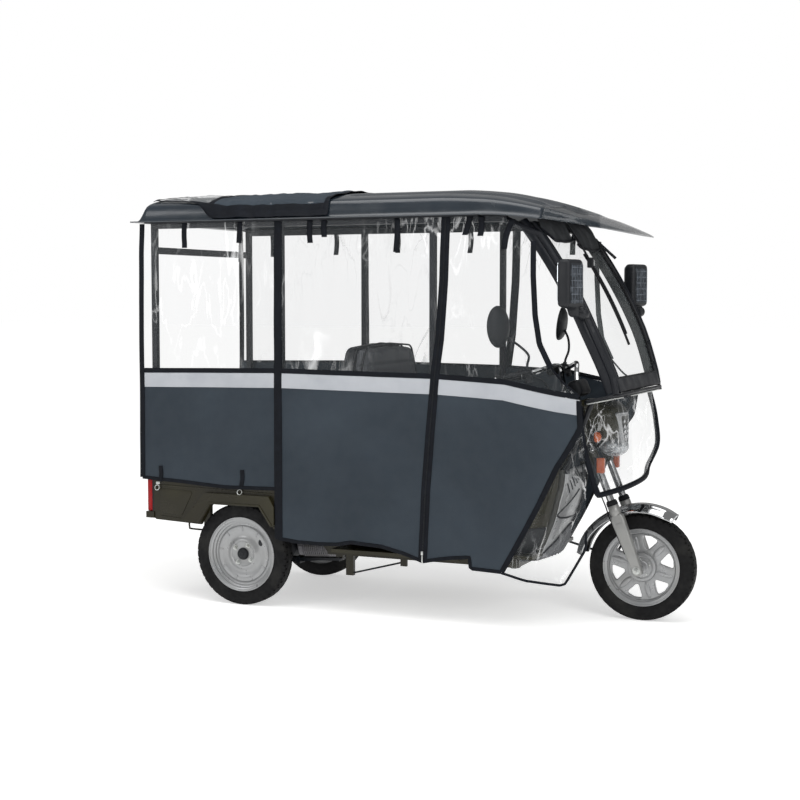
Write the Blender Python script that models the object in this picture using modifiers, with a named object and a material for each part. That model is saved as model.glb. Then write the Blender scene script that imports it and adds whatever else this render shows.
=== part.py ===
"""Electric cabin scooter: a three-wheeled cargo scooter with a roofed cabin and rain curtains.

Metres, +X forward, +Y to the left, +Z up. Sizes along X are from the rear axle and heights are from the
ground. The empty "vehicle" then puts the middle of the whole length over the origin.
"""

import math

import bmesh
import bpy
from mathutils import Matrix, Vector

# Fits
GAP = 0.0003  # between pieces that touch
RUNNING = 0.0005  # round a shaft that turns
WELD = 0.0004  # how far joined pieces are set in, so that no faces coincide
THROUGH = 0.7  # a bore that goes right through

# Wheels
TURN_STEPS = 40
TYRE_RADIUS = 0.2286
TYRE_WIDTH = 0.076
RIM_SEAT_RADIUS = 0.1524
RIM_FLANGE_RADIUS = 0.1665
RIM_WIDTH = 0.068
AXLE_HEIGHT = TYRE_RADIUS * math.cos(math.pi / TURN_STEPS)
WHEELBASE = 1.722
TYRE_CLEARANCE = 0.007  # to the inside of the cargo box
REAR_SHAFT_RADIUS = 0.0105
FRONT_SHAFT_RADIUS = 0.007

# Steering
RAKE = math.radians(22)
FORK_OFFSET = 0.045
LEG_SPREAD = 0.095
LEG_TUBE_RADIUS = 0.0155
SLIDER_RADIUS = 0.024
SLIDER_TOP = 0.29
LOWER_YOKE = 0.55
UPPER_YOKE = 0.73
YOKE_THICKNESS = 0.026
HEAD_TUBE_RADIUS = 0.027
STEERER_RADIUS = 0.015
BAR_RADIUS = 0.011
BAR_HALF_WIDTH = 0.37

# Chassis
RAIL_SPREAD = 0.24
RAIL_WIDTH = 0.03
RAIL_HEIGHT = 0.045
REAR_RAIL_HEIGHT = 0.455
FRONT_RAIL_HEIGHT = 0.25
REAR_END = -0.44
KICK_TOP = 0.20
KICK_FOOT = 0.36
FRAME_FRONT = WHEELBASE - 0.472

# Cabin
SIDE_FACE = 0.445  # outer face of posts and box sides
POST = 0.025
BOX_WALL = 0.012
BOX_TOP = 0.70
BOX_FRONT = 0.335
FLOOR_THICKNESS = 0.02
CABIN_FLOOR_THICKNESS = 0.015
POST_PLACES = (-0.4275, 0.215, WHEELBASE - 0.792)
TRACK = 2 * (SIDE_FACE - BOX_WALL - TYRE_CLEARANCE - TYRE_WIDTH / 2)
LAMP_INSIDE = SIDE_FACE - 0.058
FAIRING_HALF_WIDTH = SIDE_FACE - 0.140
RAIL_TOP = 1.7095
CURTAIN_THICKNESS = 0.004

# Roof
ROOF_REAR = -0.53
ROOF_SPLIT = WHEELBASE - 0.322
ROOF_TIP = WHEELBASE + 0.013
ROOF_HALF_WIDTH = SIDE_FACE + 0.030
ROOF_LIP_HEIGHT = 1.715
ROOF_RISE = 0.125
ROOF_WALL = 0.005
NOSE_START = WHEELBASE - 0.572
CROWN_START = WHEELBASE - 0.772

# Windscreen
SCREEN_TOP = (WHEELBASE - 0.377, 1.68)
SCREEN_FOOT = (WHEELBASE - 0.022, 0.988)
SCREEN_SAGITTA = 0.036
SCREEN_STEPS = 12
SCREEN_HALF_WIDTH = SIDE_FACE - 0.060
SCREEN_FOOT_HALF_WIDTH = SIDE_FACE - 0.115
SCREEN_FRAME_BAND = 0.032
SCREEN_FRAME_DEPTH = 0.018
SCREEN_GLASS = 0.005
APOST_RADIUS = 0.0145
SHELF_FRONT = WHEELBASE + 0.006
SHELF_REAR = WHEELBASE - 0.167
SHELF_TOP = 0.989  # at its front edge
SHELF_TILT = math.radians(12)
SHELF_THICKNESS = 0.018

FENDER_RADIUS = 0.270
FENDER_WALL = 0.003

LIFT_TO_FRONT = WHEELBASE + TYRE_RADIUS * math.cos(math.pi / TURN_STEPS)
MIDDLE = (ROOF_REAR + LIFT_TO_FRONT) / 2

SIDES = (("right", -1), ("left", 1))


# ---------------------------------------------------------------- scene and materials
for old in list(bpy.data.objects):
    bpy.data.objects.remove(old, do_unlink=True)

parts = bpy.data.collections.new("electric_cabin_scooter")
cutters = bpy.data.collections.new("cutters")
for made in (parts, cutters):
    bpy.context.scene.collection.children.link(made)


def material(name, colour, roughness, metallic=0.0, alpha=1.0):
    made = bpy.data.materials.new(name)
    made.use_nodes = True
    shader = made.node_tree.nodes["Principled BSDF"]
    shader.inputs["Base Color"].default_value = (*colour, 1.0)
    shader.inputs["Roughness"].default_value = roughness
    shader.inputs["Metallic"].default_value = metallic
    shader.inputs["Alpha"].default_value = alpha
    made.diffuse_color = (*colour, alpha)
    return made


OLIVE = material("olive_paint", (0.045, 0.043, 0.028), 0.35)
BLACK_STEEL = material("black_steel", (0.012, 0.014, 0.017), 0.45)
ROOF_PLASTIC = material("roof_plastic", (0.035, 0.047, 0.058), 0.25)
VISOR_PLASTIC = material("visor_plastic", (0.10, 0.11, 0.11), 0.2, alpha=0.6)
CLEAR = material("clear_film", (0.85, 0.88, 0.90), 0.1, alpha=0.35)
FABRIC = material("curtain_fabric", (0.055, 0.068, 0.085), 0.8)
LEATHER = material("seat_leather", (0.09, 0.095, 0.10), 0.6)
RUBBER = material("tyre_rubber", (0.012, 0.012, 0.013), 0.75)
SILVER = material("silver_paint", (0.50, 0.51, 0.52), 0.35, 0.7)
CHROME = material("chrome", (0.80, 0.80, 0.80), 0.08, 1.0)
CAST = material("cast_metal", (0.30, 0.30, 0.29), 0.45, 0.8)
RED_LENS = material("red_lens", (0.30, 0.005, 0.008), 0.2)
BLACK_PLASTIC = material("black_plastic", (0.015, 0.016, 0.018), 0.5)


# ---------------------------------------------------------------- shape tools
def empty(name, parent=None, location=(0, 0, 0), rotation=(0, 0, 0)):
    made = bpy.data.objects.new(name, None)
    made.location = location
    made.rotation_euler = rotation
    made.parent = parent
    parts.objects.link(made)
    return made


def place(obj, finish, parent, location, rotation=(0, 0, 0), helper=False):
    """Puts a new object under its parent, as a piece or as a hidden helper."""
    (cutters if helper else parts).objects.link(obj)
    obj.parent = parent
    obj.location = location
    obj.rotation_euler = rotation
    if helper:
        obj.hide_render = True
        obj.display_type = "WIRE"
    elif finish:
        obj.data.materials.append(finish)
    return obj


def from_bmesh(name, bm):
    mesh = bpy.data.meshes.new(name)
    bm.to_mesh(mesh)
    bm.free()
    return bpy.data.objects.new(name, mesh)


def block(name, low, high, finish=None, parent=None, bevel=0.0, helper=False, rotation=(0, 0, 0)):
    """A box between two corners."""
    low, high = Vector(low), Vector(high)
    bm = bmesh.new()
    bmesh.ops.create_cube(bm, size=1.0)
    bmesh.ops.scale(bm, vec=high - low, verts=bm.verts)
    obj = place(from_bmesh(name, bm), finish, parent, (low + high) / 2, rotation, helper)
    if bevel:
        add_bevel(obj, bevel)
    return obj


def beam(name, start, end, width, height, parent, finish=None, helper=True):
    """A box from start to end, which lie in one upright plane along X."""
    start, end = Vector(start), Vector(end)
    run = end - start
    bm = bmesh.new()
    bmesh.ops.create_cube(bm, size=1.0)
    bmesh.ops.scale(bm, vec=(run.length, width, height), verts=bm.verts)
    tilt = -math.atan2(run.z, run.x)
    return place(from_bmesh(name, bm), finish, parent, (start + end) / 2, (0, tilt, 0), helper)


def cylinder(
    name, radius, length, parent, location, rotation=(0, 0, 0), sides=24, finish=None, helper=True
):
    bm = bmesh.new()
    bmesh.ops.create_cone(
        bm, cap_ends=True, segments=sides, radius1=radius, radius2=radius, depth=length
    )
    return place(from_bmesh(name, bm), finish, parent, location, rotation, helper)


def add_bevel(obj, width, segments=2):
    bevel = obj.modifiers.new("Bevel", "BEVEL")
    bevel.width = width
    bevel.segments = segments
    bevel.limit_method = "ANGLE"


def boolean(obj, other, operation):
    cut = obj.modifiers.new(other.name, "BOOLEAN")
    cut.operation = operation
    cut.object = other
    return obj


def unite(obj, *others):
    for other in others:
        boolean(obj, other, "UNION")
    return obj


def cut_away(obj, *others):
    for other in others:
        boolean(obj, other, "DIFFERENCE")
    return obj


def turned(
    name,
    profile,
    finish,
    parent,
    location,
    rotation=(0, 0, 0),
    steps=TURN_STEPS,
    helper=False,
    closed=False,
):
    """A solid turned about its local Z from (radius, height) pairs, listed down the outer side.
    It starts half a step round, so that a tyre stands on a flat side."""
    half = math.pi / steps
    bm = bmesh.new()
    verts = [bm.verts.new((r * math.cos(half), r * math.sin(half), h)) for r, h in profile]
    for a, b in zip(verts, verts[1:]):
        bm.edges.new((a, b))
    if closed:
        bm.edges.new((verts[-1], verts[0]))
    obj = place(from_bmesh(name, bm), finish, parent, location, rotation, helper)
    screw = obj.modifiers.new("Screw", "SCREW")
    screw.steps = screw.render_steps = steps
    screw.use_merge_vertices = True
    screw.merge_threshold = 0.0001
    screw.use_smooth_shade = True
    return obj


def smooth_path(points, per_span=6):
    """Points along a Catmull-Rom curve through the given ones."""
    pts = [Vector(p) for p in points]
    pts = [2 * pts[0] - pts[1], *pts, 2 * pts[-1] - pts[-2]]
    path = []
    for a, b, c, d in zip(pts, pts[1:], pts[2:], pts[3:]):
        for i in range(per_span):
            t = i / per_span
            path.append(
                0.5
                * (
                    2 * b
                    + (c - a) * t
                    + (2 * a - 5 * b + 4 * c - d) * t * t
                    + (3 * b - a - 3 * c + d) * t**3
                )
            )
    return [*path, pts[-2]]


def tube(name, points, radius, finish, parent, sides=2, location=(0, 0, 0)):
    """A round bar along points, with filled ends."""
    curve = bpy.data.curves.new(name, "CURVE")
    curve.dimensions = "3D"
    curve.bevel_depth = radius
    curve.bevel_resolution = sides
    curve.use_fill_caps = True
    spline = curve.splines.new("POLY")
    spline.points.add(len(points) - 1)
    for point, at in zip(spline.points, points):
        point.co = (*at, 1.0)
    return place(bpy.data.objects.new(name, curve), finish, parent, location)


def outline_solid(name, outline, thickness, finish, parent, location, rotation):
    """A flat plate from an outline in its local XY plane, half its thickness to each side."""
    curve = bpy.data.curves.new(name, "CURVE")
    curve.dimensions = "2D"
    curve.fill_mode = "BOTH"
    curve.extrude = thickness / 2
    spline = curve.splines.new("POLY")
    spline.points.add(len(outline) - 1)
    for point, at in zip(spline.points, outline):
        point.co = (*at, 0.0, 1.0)
    spline.use_cyclic_u = True
    return place(bpy.data.objects.new(name, curve), finish, parent, location, rotation)


UPRIGHT = (math.pi / 2, 0, 0)  # an outline's X and Y become X and Z


def meshed(curve_object, helper=False):
    """The curve object's mesh as an object in its place, so that it takes a Boolean."""
    bpy.context.view_layer.update()
    graph = bpy.context.evaluated_depsgraph_get()
    mesh = bpy.data.meshes.new_from_object(curve_object.evaluated_get(graph))
    bm = bmesh.new()
    bm.from_mesh(mesh)
    bmesh.ops.remove_doubles(bm, verts=bm.verts, dist=1e-6)
    bmesh.ops.recalc_face_normals(bm, faces=bm.faces)
    bm.to_mesh(mesh)
    bm.free()
    name, parent = curve_object.name, curve_object.parent
    location, rotation = curve_object.location.copy(), curve_object.rotation_euler.copy()
    bpy.data.objects.remove(curve_object, do_unlink=True)
    made = bpy.data.objects.new(name, mesh)
    return place(made, None, parent, location, rotation, helper)


def rounded(outline, radius, steps=4):
    """The outline with each corner replaced by an arc."""
    points = [Vector(p) for p in outline]
    made = []
    for before, corner, after in zip([points[-1], *points], points, [*points[1:], points[0]]):
        to_before, to_after = (before - corner).normalized(), (after - corner).normalized()
        angle = to_before.angle(to_after)
        shorter = min((before - corner).length, (after - corner).length)
        reach = min(radius / math.tan(angle / 2), 0.45 * shorter)
        start, end = corner + to_before * reach, corner + to_after * reach
        for i in range(steps + 1):
            t = i / steps
            made.append(tuple((1 - t) ** 2 * start + 2 * t * (1 - t) * corner + t * t * end))
    return made


def shell(name, columns, rows, shape, thickness, finish, parent, offset=-1.0, helper=False):
    """A sheet whose point at (u, v), u from 0 to 1 and v from -1 to 1, is shape(u, v), made solid."""
    bm = bmesh.new()
    bmesh.ops.create_grid(bm, x_segments=columns, y_segments=rows, size=1.0)
    for vert in bm.verts:
        vert.co = shape((vert.co.x + 1) / 2, vert.co.y)
    obj = place(from_bmesh(name, bm), finish, parent, (0, 0, 0), helper=helper)
    solidify = obj.modifiers.new("Solidify", "SOLIDIFY")
    solidify.thickness = thickness
    solidify.offset = offset
    return obj


def mix(a, b, t):
    return a + (b - a) * t


def ease(t):
    t = min(max(t, 0.0), 1.0)
    return t * t * (3 - 2 * t)


vehicle = empty("vehicle", location=(-MIDDLE, 0, 0))


# ---------------------------------------------------------------- wheels
def tyre_profile():
    """Bead, side wall, shoulder and crown of one half, then mirrored, as a closed ring."""
    half = TYRE_WIDTH / 2
    bead = RIM_WIDTH / 2 - 0.0055
    upper = (
        (TYRE_RADIUS - 0.0006, half * 0.40),
        (TYRE_RADIUS - 0.005, half * 0.74),
        (TYRE_RADIUS - 0.017, half * 0.94),
        (TYRE_RADIUS - 0.036, half),
        (RIM_FLANGE_RADIUS + 0.006, half * 0.90),
        (RIM_FLANGE_RADIUS + 0.001, bead),
        (RIM_SEAT_RADIUS + GAP, bead),
    )
    outer_down = [*reversed(upper), (TYRE_RADIUS, 0.0), *((r, -h) for r, h in upper)]
    return outer_down


def rim_ring(disc_height, hub):
    """A rim's section: flanged barrel, then a disc to the hub at disc_height. hub is (radius, low, high)."""
    half, seat, wall = RIM_WIDTH / 2, RIM_SEAT_RADIUS, 0.0035
    lip = RIM_FLANGE_RADIUS
    hub_radius, hub_low, hub_high = hub
    return [
        (lip - 0.006, half),
        (lip, half - 0.0012),
        (lip, half - 0.005),
        (seat, half - 0.0052),
        (seat, -half + 0.0052),
        (lip, -half + 0.005),
        (lip, -half + 0.0012),
        (lip - 0.006, -half),
        (seat - wall, -half + 0.004),
        (seat - wall, disc_height - 0.004),
        (hub_radius + 0.02, disc_height - 0.004),
        (hub_radius, hub_low),
        (REAR_SHAFT_RADIUS + RUNNING, hub_low),
        (REAR_SHAFT_RADIUS + RUNNING, hub_high),
        (hub_radius, hub_high),
        (hub_radius + 0.02, disc_height + 0.004),
        (seat - wall, disc_height + 0.004),
        (seat - wall, half - 0.004),
    ]


def wheel(name, axle, outward, rim_profile):
    """A rim and its tyre, turned about the axle. outward is -1 where the disc faces the right."""
    turn = (-outward * math.pi / 2, 0, 0)
    rim = turned(f"{name}_rim", rim_profile, SILVER, axle, (0, 0, 0), turn, closed=True)
    turned(f"{name}_tyre", tyre_profile(), RUBBER, axle, (0, 0, 0), turn, closed=True)
    return rim


REAR_DISC_HEIGHT = 0.008
for side, sign in SIDES:
    axle_empty = empty(
        f"rear_wheel_{side}_axis", vehicle, (0, sign * TRACK / 2, AXLE_HEIGHT)
    )
    wheel(
        f"rear_wheel_{side}",
        axle_empty,
        sign,
        rim_ring(REAR_DISC_HEIGHT, (0.045, -0.012, 0.020)),
    )

# ---------------------------------------------------------------- rear axle, motor and springs
HUB_FACE = TRACK / 2 - 0.012
axle_half = [
    (0.0, TRACK / 2 + 0.024),
    (REAR_SHAFT_RADIUS, TRACK / 2 + 0.024),
    (REAR_SHAFT_RADIUS, HUB_FACE - 0.006),
    (0.030, HUB_FACE - 0.006),
    (0.030, HUB_FACE - 0.020),
    (0.075, HUB_FACE - 0.026),
    (0.075, HUB_FACE - 0.055),
    (0.028, HUB_FACE - 0.060),
    (0.028, 0.100),
    (0.060, 0.085),
    (0.088, 0.045),
]
turned(
    "rear_axle",
    [*axle_half, (0.095, 0.0), *((r, -h) for r, h in reversed(axle_half))],
    BLACK_STEEL,
    vehicle,
    (0, 0, AXLE_HEIGHT),
    (-math.pi / 2, 0, 0),
)
MOTOR_RADIUS = 0.072
MOTOR_LENGTH = 0.19
MOTOR_START = 0.0955
turned(
    "drive_motor",
    [
        (0.0, MOTOR_LENGTH),
        (MOTOR_RADIUS - 0.012, MOTOR_LENGTH),
        (MOTOR_RADIUS, MOTOR_LENGTH - 0.012),
        (MOTOR_RADIUS, 0.010),
        (MOTOR_RADIUS - 0.010, 0.0),
        (0.0, 0.0),
    ],
    CAST,
    vehicle,
    (MOTOR_START, 0, AXLE_HEIGHT),
    (0, math.pi / 2, 0),
    steps=24,
)

SPRING_WIDTH = 0.045
SPRING_SEAT = AXLE_HEIGHT - 0.028 - 0.0006
SPRING_FRONT, SPRING_REAR = (0.41, 0.2145), (-0.280, 0.285)
SPRING_THICKNESS = 0.012
SPRING_PACK = 0.030


def spring_outline(points=9):
    """Top line from the rear eye to the front one through the seat, then back along the underside."""
    top, under = [], []
    for (end_x, end_z), places in ((SPRING_REAR, range(points)), (SPRING_FRONT, range(points - 2, -1, -1))):
        for i in places:
            t = 1 - i / (points - 1)
            x = end_x * t
            z = mix(SPRING_SEAT, end_z, t * t)
            top.append((x, z))
            under.append((x, z - mix(SPRING_PACK, SPRING_THICKNESS, min(1.0, t * 1.35))))
    return [*top, *reversed(under)]


for side, sign in SIDES:
    outline_solid(
        f"leaf_spring_{side}",
        spring_outline(),
        SPRING_WIDTH,
        BLACK_STEEL,
        vehicle,
        (0, sign * RAIL_SPREAD, 0),
        UPRIGHT,
    )


# ---------------------------------------------------------------- chassis frame
def axis_point(along, forward=0.0, across=0.0):
    """A point given along the steering axis from the level of the front axle, and forward of it."""
    foot = Vector((WHEELBASE, 0, AXLE_HEIGHT)) - FORK_OFFSET * Vector((math.cos(RAKE), 0, math.sin(RAKE)))
    up = Vector((-math.sin(RAKE), 0, math.cos(RAKE)))
    ahead = Vector((math.cos(RAKE), 0, math.sin(RAKE)))
    return foot + up * along + ahead * forward + Vector((0, across, 0))


HEAD_LOW = LOWER_YOKE + YOKE_THICKNESS / 2 + 0.006
HEAD_HIGH = UPPER_YOKE - YOKE_THICKNESS / 2 - 0.006
HEAD_MIDDLE = (HEAD_LOW + HEAD_HIGH) / 2
frame = block(
    "chassis_frame",
    (REAR_END + 0.015, -RAIL_SPREAD - RAIL_WIDTH / 2, REAR_RAIL_HEIGHT - RAIL_HEIGHT / 2),
    (KICK_TOP, -RAIL_SPREAD + RAIL_WIDTH / 2, REAR_RAIL_HEIGHT + RAIL_HEIGHT / 2),
    OLIVE,
    vehicle,
)
members = []
for side, sign in SIDES:
    y = sign * RAIL_SPREAD
    if sign > 0:
        members.append(
            beam(
                "rear_rail",
                (REAR_END + 0.015, y, REAR_RAIL_HEIGHT),
                (KICK_TOP, y, REAR_RAIL_HEIGHT),
                RAIL_WIDTH,
                RAIL_HEIGHT,
                vehicle,
            )
        )
    members += [
        beam(
            f"kick_{side}",
            (KICK_TOP - 0.012, y, REAR_RAIL_HEIGHT + 0.006),
            (KICK_FOOT + 0.012, y, FRONT_RAIL_HEIGHT - 0.006),
            RAIL_WIDTH - 0.001,
            RAIL_HEIGHT,
            vehicle,
        ),
        beam(
            f"front_rail_{side}",
            (KICK_FOOT - 0.010, y, FRONT_RAIL_HEIGHT),
            (FRAME_FRONT, y, FRONT_RAIL_HEIGHT),
            RAIL_WIDTH,
            RAIL_HEIGHT,
            vehicle,
        ),
        block(
            f"spring_hanger_rear_{side}",
            (SPRING_REAR[0] - 0.012, y - 0.011, SPRING_REAR[1] + GAP),
            (SPRING_REAR[0] + 0.022, y + 0.011, REAR_RAIL_HEIGHT),
            parent=vehicle,
            helper=True,
        ),
        block(
            f"spring_hanger_front_{side}",
            (SPRING_FRONT[0] - 0.022, y - 0.011, SPRING_FRONT[1] + GAP),
            (SPRING_FRONT[0] + 0.012, y + 0.011, FRONT_RAIL_HEIGHT),
            parent=vehicle,
            helper=True,
        ),
    ]
CROSS_MEMBERS = (  # place along X, height, half width
    (REAR_END + 0.030, REAR_RAIL_HEIGHT, SIDE_FACE - 0.030),
    (0.110, REAR_RAIL_HEIGHT, RAIL_SPREAD),
    (0.400, FRONT_RAIL_HEIGHT, RAIL_SPREAD),
    (0.900, FRONT_RAIL_HEIGHT, RAIL_SPREAD),
    (FRAME_FRONT - 0.015, FRONT_RAIL_HEIGHT, FAIRING_HALF_WIDTH - 0.025),
)
for i, (x, z, reach) in enumerate(CROSS_MEMBERS):
    members.append(
        block(
            f"cross_member_{i}",
            (x - 0.0125, -reach, z - RAIL_HEIGHT / 2 + 0.002),
            (x + 0.0125, reach, z + RAIL_HEIGHT / 2 - 0.002),
            parent=vehicle,
            helper=True,
        )
    )
BRAKE_PIVOT = (0.455, 0.150)
members.append(
    block(
        "brake_bracket",
        (BRAKE_PIVOT[0] - 0.018, -RAIL_SPREAD - 0.010, BRAKE_PIVOT[1] - 0.012),
        (BRAKE_PIVOT[0] + 0.018, -RAIL_SPREAD + 0.010, FRONT_RAIL_HEIGHT),
        parent=vehicle,
        helper=True,
    )
)
NECK_FOOT = (FRAME_FRONT - 0.020, 0, FRONT_RAIL_HEIGHT)
NECK_KNEE = (WHEELBASE - 0.407, 0, 0.60)
head_middle = axis_point(HEAD_MIDDLE)
members += [
    beam("neck_lower", NECK_FOOT, NECK_KNEE, 0.040, 0.040, vehicle),
    beam("neck_upper", (NECK_KNEE[0] - 0.008, 0, NECK_KNEE[2] - 0.014), head_middle, 0.038, 0.044, vehicle),
    cylinder(
        "head_tube",
        HEAD_TUBE_RADIUS,
        HEAD_HIGH - HEAD_LOW,
        vehicle,
        head_middle,
        (0, -RAKE, 0),
    ),
]
unite(frame, *members)
cut_away(
    frame,
    cylinder("head_bore", STEERER_RADIUS + RUNNING, THROUGH, vehicle, head_middle, (0, -RAKE, 0)),
)

BRAKE_ROD_FRONT = (0.70, FRONT_RAIL_HEIGHT - 0.04)
PEDAL_PLATE = 0.012
ROD_CLEARANCE = 0.0014  # the rod leans, so its end is not square to the brackets
unite(
    frame,
    block(
        "pedal_bracket",
        (BRAKE_ROD_FRONT[0], -RAIL_SPREAD - PEDAL_PLATE / 2, BRAKE_ROD_FRONT[1] - 0.014),
        (BRAKE_ROD_FRONT[0] + 0.03, -RAIL_SPREAD + PEDAL_PLATE / 2, FRONT_RAIL_HEIGHT),
        parent=vehicle,
        helper=True,
    ),
)
tube(
    "brake_rod",
    [
        (BRAKE_PIVOT[0] + 0.018 + ROD_CLEARANCE, -RAIL_SPREAD, BRAKE_PIVOT[1]),
        (BRAKE_ROD_FRONT[0] - ROD_CLEARANCE, -RAIL_SPREAD, BRAKE_ROD_FRONT[1]),
    ],
    0.004,
    BLACK_STEEL,
    vehicle,
)

# ---------------------------------------------------------------- floors and battery box
FLOOR_UNDERSIDE = REAR_RAIL_HEIGHT + RAIL_HEIGHT / 2 + GAP
BOX_FLOOR = FLOOR_UNDERSIDE + FLOOR_THICKNESS
BOX_INSIDE = SIDE_FACE - BOX_WALL
HINGE = (REAR_END - 0.010, BOX_FLOOR - 0.010)
HINGE_ROD_RADIUS = 0.004
LUG_SPREAD = LAMP_INSIDE - 0.069
cargo_bed = block(
    "cargo_bed",
    (REAR_END + BOX_WALL + GAP, -BOX_INSIDE + GAP, FLOOR_UNDERSIDE),
    (BOX_FRONT, BOX_INSIDE - GAP, BOX_FLOOR),
    OLIVE,
    vehicle,
)
unite(
    cargo_bed,
    block(
        "bed_front_wall",
        (BOX_FRONT - 0.015, -BOX_INSIDE + GAP, FLOOR_UNDERSIDE),
        (BOX_FRONT, BOX_INSIDE - GAP, BOX_TOP),
        parent=vehicle,
        helper=True,
    ),
    cylinder(
        "tailgate_rod",
        HINGE_ROD_RADIUS,
        2 * LUG_SPREAD + 0.024,
        vehicle,
        (HINGE[0], 0, HINGE[1]),
        UPRIGHT,
        sides=12,
    ),
    *(
        block(
            f"hinge_lug_{i}",
            (HINGE[0] - 0.006, y - 0.012, HINGE[1] - 0.0095),
            (REAR_END + 0.02, y + 0.012, HINGE[1] + 0.007),
            parent=vehicle,
            helper=True,
        )
        for i, y in enumerate((-LUG_SPREAD, 0, LUG_SPREAD))
    ),
)

CABIN_FLOOR_UNDERSIDE = FRONT_RAIL_HEIGHT + RAIL_HEIGHT / 2 + GAP
CABIN_FLOOR = CABIN_FLOOR_UNDERSIDE + CABIN_FLOOR_THICKNESS
CABIN_FLOOR_FRONT = WHEELBASE - 0.397
WIDE_FLOOR_FRONT = WHEELBASE - 0.672
FLOOR_TONGUE_HALF_WIDTH = FAIRING_HALF_WIDTH - 0.015
cabin_floor = block(
    "cabin_floor",
    (0.46, -SIDE_FACE, CABIN_FLOOR_UNDERSIDE),
    (WIDE_FLOOR_FRONT, SIDE_FACE, CABIN_FLOOR),
    OLIVE,
    vehicle,
)
unite(
    cabin_floor,
    block(
        "floor_front",
        (WIDE_FLOOR_FRONT - 0.01, -FLOOR_TONGUE_HALF_WIDTH, CABIN_FLOOR_UNDERSIDE),
        (CABIN_FLOOR_FRONT, FLOOR_TONGUE_HALF_WIDTH, CABIN_FLOOR),
        parent=vehicle,
        helper=True,
    ),
)
cut_away(
    cabin_floor,
    block(
        "neck_hole",
        (NECK_FOOT[0] - 0.032, -0.024, CABIN_FLOOR_UNDERSIDE - 0.02),
        (NECK_FOOT[0] + 0.045, 0.024, CABIN_FLOOR + 0.02),
        parent=vehicle,
        helper=True,
    ),
)

SEAT_BASE_TOP = 0.66
SEAT_HALF_WIDTH = 0.325
SEAT_REAR, SEAT_FRONT = 0.445, 0.93
CUSHION_HEIGHT = 0.10
BACKREST_TOP = 1.176
BACKREST_SHOULDER = 1.04
BATTERY_BOX_HALF_WIDTH = 0.29
BATTERY_BOX_FRONT = 0.86
block(
    "battery_box",
    (SEAT_REAR + 0.025, -BATTERY_BOX_HALF_WIDTH, CABIN_FLOOR + GAP),
    (BATTERY_BOX_FRONT, BATTERY_BOX_HALF_WIDTH, SEAT_BASE_TOP),
    OLIVE,
    vehicle,
    bevel=0.012,
)
block(
    "seat_cushion",
    (SEAT_REAR, -SEAT_HALF_WIDTH, SEAT_BASE_TOP + GAP),
    (SEAT_FRONT, SEAT_HALF_WIDTH, SEAT_BASE_TOP + CUSHION_HEIGHT),
    LEATHER,
    vehicle,
    bevel=0.03,
)
BACKREST_FOOT = SEAT_BASE_TOP + CUSHION_HEIGHT + GAP
BACKREST_THICKNESS = 0.068
backrest_outline = rounded(
    [
        (-SEAT_HALF_WIDTH, BACKREST_FOOT),
        (SEAT_HALF_WIDTH, BACKREST_FOOT),
        (SEAT_HALF_WIDTH, BACKREST_SHOULDER),
        (SEAT_HALF_WIDTH - 0.075, BACKREST_TOP),
        (-SEAT_HALF_WIDTH + 0.075, BACKREST_TOP),
        (-SEAT_HALF_WIDTH, BACKREST_SHOULDER),
    ],
    0.05,
)
outline_solid(
    "seat_backrest",
    backrest_outline,
    BACKREST_THICKNESS,
    LEATHER,
    vehicle,
    (SEAT_REAR + 0.037 + BACKREST_THICKNESS / 2, 0, 0),
    (math.pi / 2, 0, math.pi / 2),
)

# ---------------------------------------------------------------- cargo box sides, lamps and tailgate
ARCH = ((-0.190, 0.355), (-0.130, 0.452), (0.112, 0.452), (0.178, 0.355))
FLARE = ((-0.284, 0.366), (-0.163, 0.501), (0.162, 0.501), (0.1885, 0.455))
FLARE_REACH = 0.020
LAMP_LOW, LAMP_HIGH = 0.400, 0.552
LAMP_DEPTH = 0.034
SKIRT = 0.365
for side, sign in SIDES:
    middle = sign * (SIDE_FACE - BOX_WALL / 2)
    panel = outline_solid(
        f"cargo_side_{side}",
        [
            (REAR_END, SKIRT + 0.012),
            (REAR_END + 0.012, SKIRT),
            *ARCH,
            (BOX_FRONT, 0.355),
            (BOX_FRONT, BOX_TOP),
            (REAR_END, BOX_TOP),
        ],
        BOX_WALL,
        None,
        vehicle,
        (0, middle, 0),
        UPRIGHT,
    )
    panel = meshed(panel)
    panel.data.materials.append(OLIVE)
    flare = outline_solid(
        f"flare_{side}",
        [*FLARE, (0.1885, 0.375), (0.172, 0.3665), *reversed(ARCH[1:3]), (-0.184, 0.366)],
        FLARE_REACH + 0.004,
        None,
        vehicle,
        (0, sign * (SIDE_FACE + FLARE_REACH / 2 - 0.002), 0),
        UPRIGHT,
    )
    inner, outer = sorted((sign * LAMP_INSIDE, sign * (SIDE_FACE - 0.0005)))
    lip_low, lip_high = sorted((sign * (LAMP_INSIDE + 0.002), sign * (SIDE_FACE + 0.006)))
    unite(
        panel,
        meshed(flare, helper=True),
        block(
            f"corner_return_{side}",
            (REAR_END, inner, SKIRT + 0.005),
            (REAR_END + BOX_WALL, outer, BOX_TOP - 0.001),
            parent=vehicle,
            helper=True,
        ),
        block(
            f"corner_lip_{side}",
            (REAR_END - LAMP_DEPTH - 0.004, lip_low, SKIRT + 0.006),
            (REAR_END + 0.004, lip_high, LAMP_LOW - GAP),
            parent=vehicle,
            helper=True,
        ),
    )
    low, high = sorted((sign * (LAMP_INSIDE + 0.003), sign * (SIDE_FACE + 0.001)))
    block(
        f"tail_lamp_{side}",
        (REAR_END - LAMP_DEPTH, low, LAMP_LOW),
        (REAR_END - GAP, high, LAMP_HIGH),
        RED_LENS,
        vehicle,
        bevel=0.006,
    )

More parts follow.
